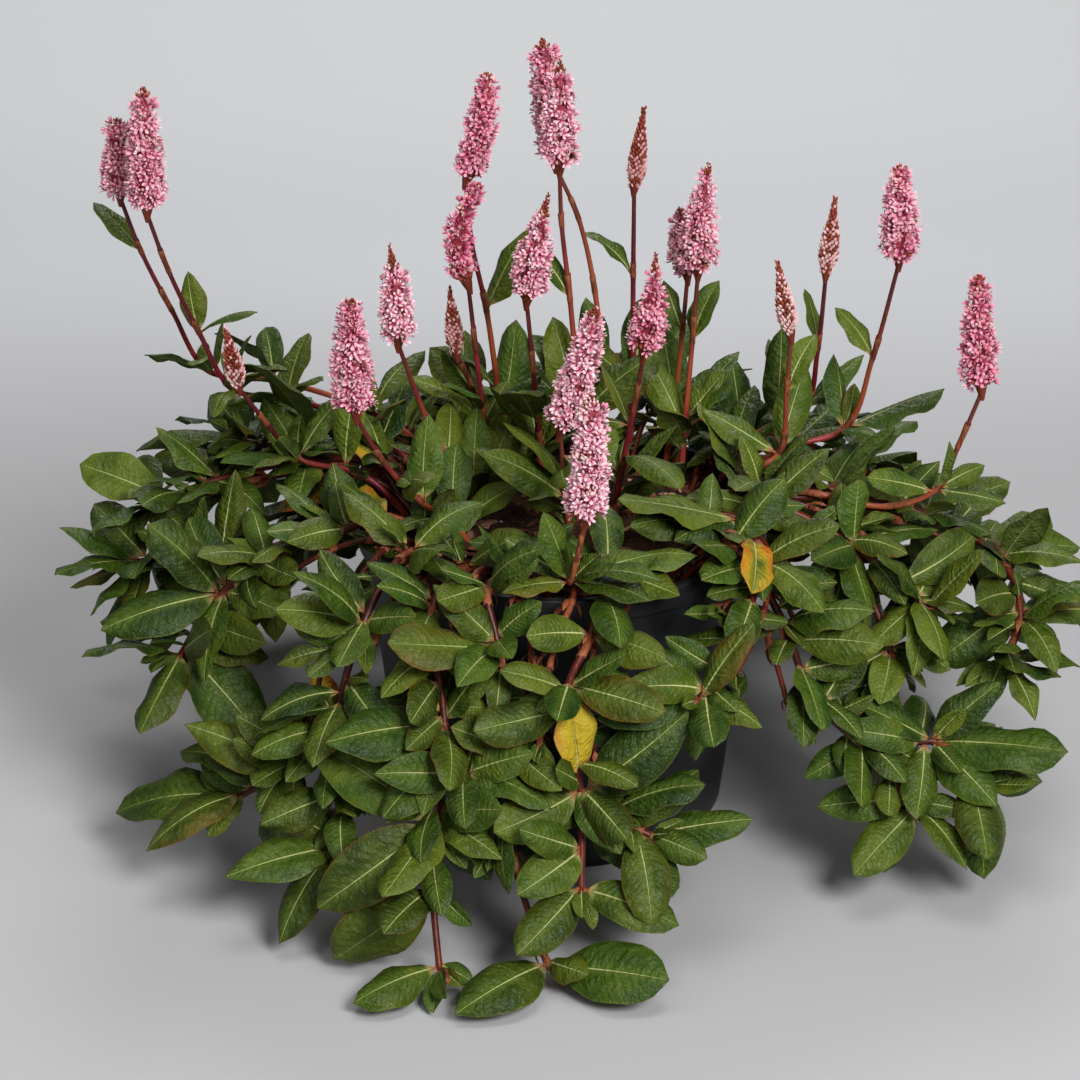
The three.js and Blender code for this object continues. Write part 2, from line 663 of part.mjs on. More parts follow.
function stemsOf(shoot) {
  return shoot.branches.map(({ path }) => stemSolid(shoot.leafyTip ? withBud(path) : path, shoot.radius));
}

function isClear(solid, others) {
  return others.every((other) => solid.minGap(other, GAP) >= GAP);
}

// Ways to fit a leaf among its neighbours: [turn, lift, share of its length], the wanted place first.
const FITTINGS = [[0, 0, 1], [0, 12, 1], [12, 0, 1], [-12, 0, 1], [0, -12, 1], [14, 14, 0.85],
  [-14, 14, 0.85], [0, 22, 0.8], [25, 5, 0.75], [-25, 5, 0.75], [0, 0, 0.6], [20, 25, 0.6],
  [-20, 25, 0.6]];

function fittedLeaf(base, start, leaf, roll, others) {
  const [bearing, rise, length] = leaf;
  for (const [turn, lift, share] of FITTINGS) {
    const solid = leafSolid(base, start, bearing + turn, rise + lift, length * share, roll);
    const clearOfFloor = solid.boundingBox().min[2] >= GAP;
    if (clearOfFloor && isClear(solid, others)) {
      return solid;
    }
  }
  return null;
}

function addLeaves(shoots, fixedSolids) {
  let leafNumber = 0;
  for (const shoot of shoots) {
    const others = shoots.filter((other) => other !== shoot);
    const ownStems = shoot.solids.length;
    for (const branch of shoot.branches) {
      for (const [pointNumber, leaves] of branch.tufts) {
        const base = toVector(branch.path[pointNumber]);
        const ownOtherLeaves = shoot.solids.slice(ownStems);
        const neighbours = [...fixedSolids, ...others.flatMap((other) => other.solids), ...ownOtherLeaves];
        for (const leaf of leaves) {
          const roll = ROLL_SWING * Math.sin(THREE.MathUtils.degToRad(leafNumber * GOLDEN_ANGLE));
          const start = shoot.radius * LEAF_ROOT_SHARE;
          const solid = leaf[2] < SMALLEST_LEAF ? null : fittedLeaf(base, start, leaf, roll, neighbours);
          leafNumber += 1;
          if (solid) {
            shoot.solids.push(solid);
          }
        }
      }
    }
  }
}

// Assembly

const plant = new THREE.Group();

function addPart(name, solid, [colour, roughness]) {
  const material = new THREE.MeshStandardMaterial({ color: colour, roughness, metalness: 0 });
  const mesh = new THREE.Mesh(toGeometry(solid), material);
  mesh.name = name;
  plant.add(mesh);
}

const flowerShoots = FLOWERS.map((flower, index) => flowerShoot(flower, index + 1));
const leafyShoots = Object.entries(RUNNERS).map(([place, branches]) => (
  { name: `leafy_runner_${place}`, branches, radius: RUNNER_RADIUS, leafyTip: true }));
const shoots = [...flowerShoots, ...leafyShoots];
for (const shoot of shoots) {
  shoot.solids = stemsOf(shoot);
}

const rootHoles = shoots.map((shoot) => stemSolid(shoot.branches[0].path, shoot.radius + GAP));
const pot = potSolid();
const compost = compostSolid(rootHoles);
const spikes = FLOWERS.map((flower, index) => {
  const radius = BUDS.includes(index + 1) ? BUD_SPIKE_RADIUS : FULL_SPIKE_RADIUS;
  return spikeSolid(flower.route, flower.tip, radius);
});
addLeaves(shoots, [pot, compost, ...spikes]);

addPart('nursery_pot', pot, LOOKS.pot);
addPart('potting_compost', compost, LOOKS.compost);
for (const [index, spike] of spikes.entries()) {
  const look = BUDS.includes(index + 1) ? LOOKS.buds : LOOKS.petals;
  addPart(`flower_spike_${String(index + 1).padStart(2, '0')}`, spike, look);
}
for (const shoot of flowerShoots) {
  addPart(shoot.name, joined(shoot.solids), LOOKS.stems);
}
for (const shoot of leafyShoots) {
  addPart(shoot.name, joined(shoot.solids), LOOKS.leaves);
}

export default plant;
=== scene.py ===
"""Looks of a potted superba knotweed: leafy runners over the rim of a nursery pot, and flower spikes.

The frame is the CAD model's: +Z up, the origin under the middle of the pot, the viewer at -Y. Sizes are in
millimetres unless a comment says otherwise, and become metres where a mesh is made.
"""
import math
import random
from collections import namedtuple

import bpy
import numpy as np
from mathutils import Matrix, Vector, noise
from mathutils.bvhtree import BVHTree


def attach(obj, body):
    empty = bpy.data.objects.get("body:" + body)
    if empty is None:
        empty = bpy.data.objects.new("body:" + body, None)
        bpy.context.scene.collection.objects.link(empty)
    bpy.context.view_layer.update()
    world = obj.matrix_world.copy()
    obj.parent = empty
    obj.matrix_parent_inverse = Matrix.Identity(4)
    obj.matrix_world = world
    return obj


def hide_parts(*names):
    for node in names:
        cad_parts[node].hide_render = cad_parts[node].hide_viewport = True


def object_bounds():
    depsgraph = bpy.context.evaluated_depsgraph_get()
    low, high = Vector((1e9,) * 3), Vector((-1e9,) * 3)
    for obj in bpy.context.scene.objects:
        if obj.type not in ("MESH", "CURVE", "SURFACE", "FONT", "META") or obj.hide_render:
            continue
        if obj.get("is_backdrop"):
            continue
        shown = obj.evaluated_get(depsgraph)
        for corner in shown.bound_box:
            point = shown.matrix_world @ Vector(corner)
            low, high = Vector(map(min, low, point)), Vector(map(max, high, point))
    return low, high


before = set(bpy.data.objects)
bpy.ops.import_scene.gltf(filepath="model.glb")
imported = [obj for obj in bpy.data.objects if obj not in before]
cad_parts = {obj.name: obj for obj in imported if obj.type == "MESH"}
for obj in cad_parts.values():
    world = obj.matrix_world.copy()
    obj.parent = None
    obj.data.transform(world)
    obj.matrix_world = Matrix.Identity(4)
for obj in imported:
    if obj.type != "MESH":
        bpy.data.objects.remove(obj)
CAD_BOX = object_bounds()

BODY = "root"
MM = 0.001
GOLDEN_ANGLE = 137.5
SHARP_ANGLE = 60
POT_SHARP_ANGLE = 32

# Studio. Places and sizes are in metres, and the lens and its sensor in millimetres. A light has its
# place, what it aims at, its size and its power in watts.
CAMERA_PLACE = (-0.010, -1.626, 0.9068)
CAMERA_AIM = (-0.010, 0.0, 0.1347)
CAMERA_LENS = 129.2
SENSOR_WIDTH = 36.0
LIGHTS = {
    "key_light": ((0.8, -1.7, 1.5), (0, 0, 0.1), 0.8, 52),
    "top_light": ((0.1, -0.5, 2.3), (0, 0, 0.1), 1.0, 12),
    "fill_light": ((-1.4, -0.9, 1.9), (0, 0, 0.15), 1.2, 5),
    "floor_light": ((0.0, 2.6, 2.0), (0, 1.7, 0), 1.6, 42),
}
WORLD_TINT = (0.96, 0.98, 1.0)
WORLD_STRENGTH = 0.16
FLOOR_SIZE = 12.0
FLOOR_NEAR = (184, 184, 185)
# Painted shading of the floor. Each further stretch of it: where its tone starts and ends to come in along
# Y, and the tone. The darkest is a painted shadow of the plant behind the pot, and the lighter far ones are
# painted light.
FLOOR_SHADING_BANDS = [(-0.25, 0.2, (172, 171, 173)), (0.32, 0.72, (199, 200, 203)), (0.75, 1.05, (206, 207, 209))]

# Pot and compost
POT_HEIGHT = 150
RIM_RADIUS = 95
RIM_DEPTH = 11
RIM_STEP = 2
WALL = 2
WALL_FOOT_RADIUS = 76
FOOT_RADIUS = 71
FOOT_HEIGHT = 6
FOOT_ROUND = 0.8
SHOULDER_ROUND = 1.2
RIM_LOW_ROUND = 0.9
RIM_TOP_ROUND = 1.3
LIP_ROUND = 0.7
CORNER_POINTS = 4
POT_SIDES = 144
DRAIN_COUNT = 8
DRAIN_WIDTH = 16
DRAIN_REACH = 12
COMPOST_TOP = 140
COMPOST_CROWN = 3
COMPOST_RINGS = 44
COMPOST_SECTORS = 132
# Waves of the compost's top: [length, height]
COMPOST_SWELLS = [17, 1.7]
COMPOST_CRUMBS = [3.1, 1.1]
GAP = 0.3

# Litter: how many, how far out, and the ranges of length, width and thickness
BARK_CHIPS = 210
CHIP_REACH = 86
CHIP_SIZES = [(6, 18), (3, 7), (1.2, 2.8)]
CHIP_TILT = 18
GRIT_GRAINS = 180
GRIT_REACH = 88
GRIT_SIZES = [(1, 2.6)] * 3
WHITE_GRIT = 0.2
CHIP_LIFT = 0.25
GRIT_LIFT = 0.3
LUMP_ROWS = 4
LUMP_SIDES = 6
LUMP_WIDTHS = (0.7, 1.15)
LUMP_JITTER = 0.12

# Stems. A taper is the thickness at the foot, and how much of it is lost by the tip.
FLOWER_STEM_RADIUS = 1.5
FLOWER_STEM_TAPER = (1.16, 0.5)
RUNNER_RADIUS = 2.1
RUNNER_TAPER = (1.0, 0.28)
NODE_SWELLING = 0.14
NODE_REACH = 2.2
STEM_SIDES = 9
STEM_STEP = 3.6
BUD_LENGTH = 3
TIP_ROUND = 4
# How far above the compost a stem's leaves and sheaths start
LEAVES_ABOVE = 6
SHEATHS_ABOVE = 4
COMPANION_REACH = (0.5, 0.85)
COMPANION_POINTS = 6
COMPANION_GAP = (6, 14)
COMPANION_SINK = 3
COMPANION_THICKNESS = 0.8
SHEATH_ROWS = 5
SHEATH_LENGTHS = (6, 14)
SHEATH_SHORTEST = 3
SHEATH_OVERLAP = 0.6
SHEATH_GAP = 0.1
SHEATH_POWER = 1.6
SHEATH_FLARE = (0.1, 0.55)
SHEATH_THICKNESS = 0.18
TEAR_DEPTH = 1.2
SCALES = 3
SCALE_SWING = 30
SCALE_FLARE = (20, 50)
SCALE_LENGTHS = (6, 12)
SCALE_WIDTHS = (1.1, 1.8)
SCALE_SPINE = [[0, 0, 0], [0, 0.1, 0.3], [0, 0, 0.7], [0, -0.2, 1]]

# Leaves. The range of each draw for a grown leaf, and what differs for young, withering and dry ones.
GROWN = {
    "width": (0.42, 0.56), "taper": (0.6, 0.92), "droop": (0.04, 0.42), "bend": (-0.14, 0.14),
    "twist": (-24, 24), "fold": (0.28, 0.64), "curl": (0.38, 0.9), "wave": (0.05, 0.24),
    "phase": (0, 6.28), "peak": (0.45, 0.57),
}
YOUNG = {"width": (0.34, 0.42), "droop": (-0.1, 0.08), "fold": (0.5, 0.8), "curl": (0.1, 0.2)}
WITHERING = {"fold": (0.5, 0.8)}
DRY = {"twist": (-50, 50), "fold": (0.5, 0.8), "curl": (0.1, 0.2)}
WITHERING_AGE = 0.85
DRY_AGE = 1
YOUNG_TONE = 0.5
FLOWER_BRIGHTNESS = 0.55
TONE_SPREAD = 0.48
MOTTLE_SPREAD = 0.5
SLENDERNESS = 0.15
ROLL_SWING = 18
LEAF_ROWS = 12
LEAF_COLUMNS = np.array([-1, -0.7, -0.28, 0, 0.28, 0.7, 1])
UNDER_COLUMNS = [5, 3, 1]
TEST_START = 0.16
TEST_ROWS = 7
TEST_COLUMNS = np.array([-1, -0.5, 0, 0.5, 1])
PETIOLE_SHARE = 0.07
PETIOLE_HALF_WIDTH = 0.8
DROOP_POWER = 2.4
CURL_POWER = 2.4
EDGE_WAVES = 13
EDGE_OFFSET = 1.7
LEAF_THICKNESS = 0.34
MIDRIB_THICKNESS = 0.75
MIDRIB_WIDTH = 0.09
MIDRIB_FADE = 0.75
VEIN_PAIRS = 14
VEIN_SWEEP = 0.15

# How leaves turn outward. The bands are distances from the pot's middle line, and heights.
OUTWARD_LEAN = 1.05
LEAN_BAND = (55, 170)
LOW_BAND = (20, 140)
LOW_EXTRA = 0.4
SIDE_SHARE = 0.6
FRONT_LEAN = 0.18
UPRIGHT_SHARE = 0.25

# Growth
LEAF_GAP = 1.3
# Ways to fit a leaf among its neighbours: [turn, lift, share of its length], the wanted place first.
# Leaves that need not grow only try the first few.
FITTINGS = [[0, 0, 1], [0, 10, 1], [10, 0, 1], [-10, 0, 1], [0, -10, 1], [10, 12, 0.95], [-10, 12, 0.95],
            [16, -6, 0.95], [-16, -6, 0.95], [0, 20, 0.9], [22, 5, 0.9], [-22, 5, 0.9], [0, 0, 0.75],
            [18, 22, 0.8], [-18, 22, 0.8], [0, 32, 0.7]]
FREE_TRIES = 8
TOUCH_MARGIN = 0.5
TUBE_SIDES = 6
POT_TEST_SIDES = 36
COMPOST_TEST_REACH = 66
# Young leaves: how many, and how far they spread from the stem's own way
TIP_TUFT = (4, 34)
INNER_TUFT = (2, 48)
YOUNG_SIZES = (13, 25)
YOUNG_ROLL = 30
YOUNG_LIFT = 12
YOUNG_STEEPEST = 75
FLOWER_TUFT_REACH = 44
FILL_ROLL = 46
FILL_FLOOR = 52
FILL_STEPS = (0.8, 1.2)
OPEN_BAND = (100, 175)
OPEN_MIDDLE = 1.2
OLD_SHARE = 0.02
OLD_AGES = (0.2, 0.5)
# Filling leaves, round by round: [stems, spacing, sizes, lifts, swings to either side of the stem]
FILLS = [
    ["flower", 6, (32, 50), (15, 75), (30, 115)],
    ["runner", 18, (26, 42), (10, 48), (0, 32)],
    ["runner", 10, (34, 47), (5, 35), (30, 115)],
    ["runner", 12, (34, 48), (-40, -5), (30, 115)],
    ["runner", 9, (26, 38), (0, 50), (30, 115)],
    ["flower", 7, (20, 34), (0, 70), (30, 115)],
    ["runner", 9, (16, 28), (0, 60), (30, 115)],
]

# Spikes
SPIKE_ROWS = 25
LAST_SHARE = 0.995
# Each thing on a spike takes up this share of a square as wide as its spacing
PACKING = 0.87
FLORET_SPACING = 3.15
FLORET_STARTS = (0.05, 0.12)
FLORET_DEPTH = 3.1
FLORET_SIZES = (0.86, 1.28)
FLORET_SINK = (-2.3, 1.2)
FLORET_SWING = 14
FLORET_WANDER = 0.24
# Tilts up from straight outward: at a spike's foot, and the gain up to its tip
FLORET_TILT = (12, 30)
TILT_SPREAD = 20
BUD_TILT = (40, 32)
COVER_TILT = (56, 20)
TEPAL_LENGTH = 3.2
TEPALS = 5
ANTHERS = 3
ANTHER_OPENNESS = 0.8
OPENNESSES = (0.12, 0.42, 0.62, 0.78, 0.95)
# Which openness a floret may have: near the top of a spike or on an old one, and elsewhere
CLOSED_CHOICES = [0, 1, 1, 2]
OPEN_CHOICES = [1, 2, 3, 3, 4, 4]
FALLEN_SHARE = {"full": 0.1, "old": 0.34}
FALLEN_AT_FOOT = 0.25
FALLEN_BAND = (0.02, 0.16)
# The parts that a dropped floret leaves: how many, and the ranges of size, tilt and depth
CALYX_PARTS = 4
CALYX_SWING = 16
CALYX_SIZES = (2.2, 3.2)
CALYX_TILTS = (10, 50)
CALYX_SINK = (-0.4, 0.8)
CORE_SIDES = 8
BUD_DEPTH = 1.1
BUD_SPACING = 2.0
CONE_SPACING = 1.5
BUD_CONE_RADIUS = 2.7
CONE_STEP = 0.03
FOOT_BRACTS = 30
FOOT_SHARE = 0.11
FOOT_DROP = 4
FOOT_RISE = 7
FOOT_RADII = [0.9, 1.6, 2.4, 3.0, 2.6]
FOOT_TILT = 58
FOOT_SIZES = (2.8, 4.0)
FOOT_SINK = 2.6

# What floret_place says of a point: which part of a flower it belongs to
TEPAL, MIDDLE, ANTHER, BUD_PART, BRACT_PART, CORE = range(6)

# Flowers. route: where the stem runs, from the compost to the foot of its spike. tip: the spike's end.
# tufts: the leaves at points of the route, as [bearing, rise, length] and, for some, an age. Bearing 0 is
# +X and 90 is +Y, in degrees. An age over 1 is a dry leaf.
FLOWERS = [
    {"route": [[-54, 44, 118], [-62, 52, 153], [-90, 72, 168], [-138, 88, 178], [-168, 84, 184],
               [-184, 74, 220], [-196, 66, 252], [-204, 60, 281]],
     "tip": [-204, 60, 319],
     "tufts": {2: [[60, 45, 42]], 3: [[95, 30, 40], [235, 40, 34], [160, 55, 36]],
               4: [[200, 35, 36], [280, 45, 38], [60, 50, 40]], 6: [[160, 50, 32]]}},
    {"route": [[-56, 32, 118], [-70, 40, 153], [-90, 54, 168], [-130, 68, 177], [-155, 66, 182],
               [-170, 58, 215], [-182, 48, 250], [-190, 42, 280]],
     "tip": [-189, 40, 342],
     "tufts": {2: [[310, 50, 38]], 3: [[80, 45, 38], [300, 50, 34], [210, 25, 36]],
               4: [[250, 20, 36], [320, 45, 40], [130, 60, 34]], 5: [[10, 35, 28], [150, 72, 30]]}},
    {"route": [[-55, 5, 118], [-90, 10, 162], [-122, 18, 168], [-136, 13, 188], [-148, 8, 208]],
     "tip": [-153, 6, 238],
     "tufts": {2: [[60, 40, 42], [230, 30, 34]]}},
    {"route": [[-30, -15, 118], [-50, -18, 152], [-64, -22, 164], [-80, -32, 188], [-92, -40, 214]],
     "tip": [-93, -42, 272],
     "tufts": {1: [[200, 25, 44], [110, 50, 40], [20, 35, 36]]}},
    {"route": [[-25, 10, 118], [-42, 12, 152], [-60, 3, 190], [-74, -8, 236]],
     "tip": [-77, -10, 285],
     "tufts": {1: [[170, 45, 44], [80, 60, 42], [260, 45, 38]]}},
    {"route": [[-34, 48, 118], [-36, 62, 165], [-43, 57, 190], [-49, 50, 207]],
     "tip": [-52, 50, 240],
     "tufts": {1: [[150, 60, 44], [60, 50, 42]]}},
    {"route": [[-20, 58, 118], [-28, 61, 170], [-35, 60, 225], [-42, 58, 262], [-44, 58, 290]],
     "tip": [-34, 58, 342],
     "tufts": {1: [[45, 72, 46], [120, 30, 40]], 2: [[20, 68, 44]]}},
    {"route": [[-28, 38, 118], [-36, 40, 175], [-40, 40, 215], [-43, 38, 246]],
     "tip": [-38, 38, 296],
     "tufts": {1: [[200, 55, 42], [330, 70, 40]]}},
    {"route": [[20, 70, 118], [20, 80, 180], [16, 85, 225], [8, 85, 262], [-3, 85, 288]],
     "tip": [-9, 85, 350],
     "tufts": {1: [[100, 55, 44], [20, 50, 40]]}},
    {"route": [[8, 48, 118], [8, 50, 180], [4, 50, 235], [0, 50, 272], [-1, 50, 298]],
     "tip": [-1, 50, 351],
     "tufts": {1: [[150, 70, 44], [280, 65, 38]], 2: [[160, 74, 34]]}},
    {"route": [[-8, 20, 118], [-10, 18, 170], [-13, 12, 215], [-16, 8, 250]],
     "tip": [-6, 2, 305],
     "tufts": {1: [[200, 60, 42], [110, 65, 42], [310, 50, 36]]}},
    {"route": [[32, 68, 118], [34, 76, 180], [34, 80, 235], [34, 80, 278]],
     "tip": [38, 80, 318],
     "tufts": {1: [[70, 55, 44], [180, 60, 40]], 2: [[150, 50, 30]]}},
    {"route": [[55, 40, 118], [58, 45, 170], [61, 46, 215], [63, 45, 249]],
     "tip": [67, 42, 305],
     "tufts": {1: [[30, 60, 44], [120, 60, 42], [250, 55, 38]], 2: [[40, 72, 30]]}},
    {"route": [[46, 58, 118], [53, 62, 170], [57, 64, 212], [59, 64, 240]],
     "tip": [55, 66, 274],
     "tufts": {1: [[90, 55, 44], [330, 60, 36]], 2: [[140, 65, 26]]}},
    {"route": [[22, 5, 118], [27, 4, 165], [33, 2, 200], [37, 0, 227]],
     "tip": [42, 0, 277],
     "tufts": {1: [[130, 60, 40], [350, 50, 38]]}},
    {"route": [[6, -12, 118], [2, -20, 165], [-1, -28, 201]],
     "tip": [15, -30, 264],
     "tufts": {1: [[190, 45, 44], [40, 55, 40], [300, 35, 36]]}},
    {"route": [[0, -45, 118], [2, -78, 160], [3, -99, 161], [6, -100, 172], [9, -97, 187]],
     "tip": [12, -96, 249],
     "tufts": {2: [[190, 75, 36], [210, 5, 34], [330, 15, 42], [345, 30, 42]]}},
    {"route": [[62, 8, 118], [88, 10, 163], [101, 12, 174], [103, 8, 205], [104, 5, 235]],
     "tip": [97, 4, 271],
     "tufts": {2: [[60, 60, 44], [155, 25, 42], [330, 0, 30]], 3: [[50, 65, 30]]}},
    {"route": [[56, 28, 118], [90, 42, 168], [114, 48, 180], [119, 38, 215], [121, 30, 255]],
     "tip": [124, 30, 292],
     "tufts": {2: [[110, 45, 42], [20, 40, 40], [250, 45, 34]], 3: [[100, 65, 28]]}},
    {"route": [[62, 18, 118], [98, 25, 167], [132, 30, 178], [143, 20, 218], [152, 8, 269]],
     "tip": [151, 8, 316],
     "tufts": {2: [[15, 20, 52], [90, 45, 40], [300, 30, 34]], 3: [[150, 60, 28]]}},
    {"route": [[62, -8, 118], [80, -9, 154], [106, -10, 164], [150, -13, 158], [172, -15, 168],
               [180, -17, 190], [189, -20, 218]],
     "tip": [185, -20, 275],
     "tufts": {4: [[20, 25, 26], [345, 10, 32], [200, 25, 36]]}},
]

# Spikes, one for each of FLOWERS: [form, paleness 0 to 1, share in bud at the top, radius, bow, taper]
SPIKES = [
    ["full", 0.45, 0.05, 8.2, 0, 0.34],
    ["full", 0.5, 0.08, 8.8, 0, 0.34],
    ["bud", 0.35, 0, 4.9, 0, 0],
    ["full", 0.48, 0.06, 9.2, -1, 0.34],
    ["full", 0.95, 0.24, 8.0, 1, 0.3],
    ["bud", 0.25, 0, 4.5, 0, 0],
    ["full", 0.24, 0.05, 7.8, 2, 0.3],
    ["old", 0.12, 0.04, 6.6, -7, 0.3],
    ["full", 0.38, 0.08, 8.0, 0, 0.18],
    ["full", 0.7, 0.12, 8.6, 0, 0.34],
    ["full", 0.65, 0.22, 8.6, -1, 0.5],
    ["bud", 0.15, 0, 4.6, 0, 0],
    ["full", 0.52, 0.12, 8.8, -1, 0.6],
    ["full", 0.50, 0.10, 7.6, 0, 0.4],
    ["full", 0.25, 0.20, 7.9, 1, 0.6],
    ["full", 0.86, 0.09, 8.9, 1, 0.36],
    ["full", 0.88, 0.08, 9.0, 1, 0.3],
    ["bud", 0.55, 0, 4.8, 0, 0],
    ["bud", 0.40, 0, 4.8, 0, 0],
    ["full", 0.40, 0.06, 8.6, 0, 0.36],
    ["full", 0.22, 0.07, 8.4, -1, 0.4],
]

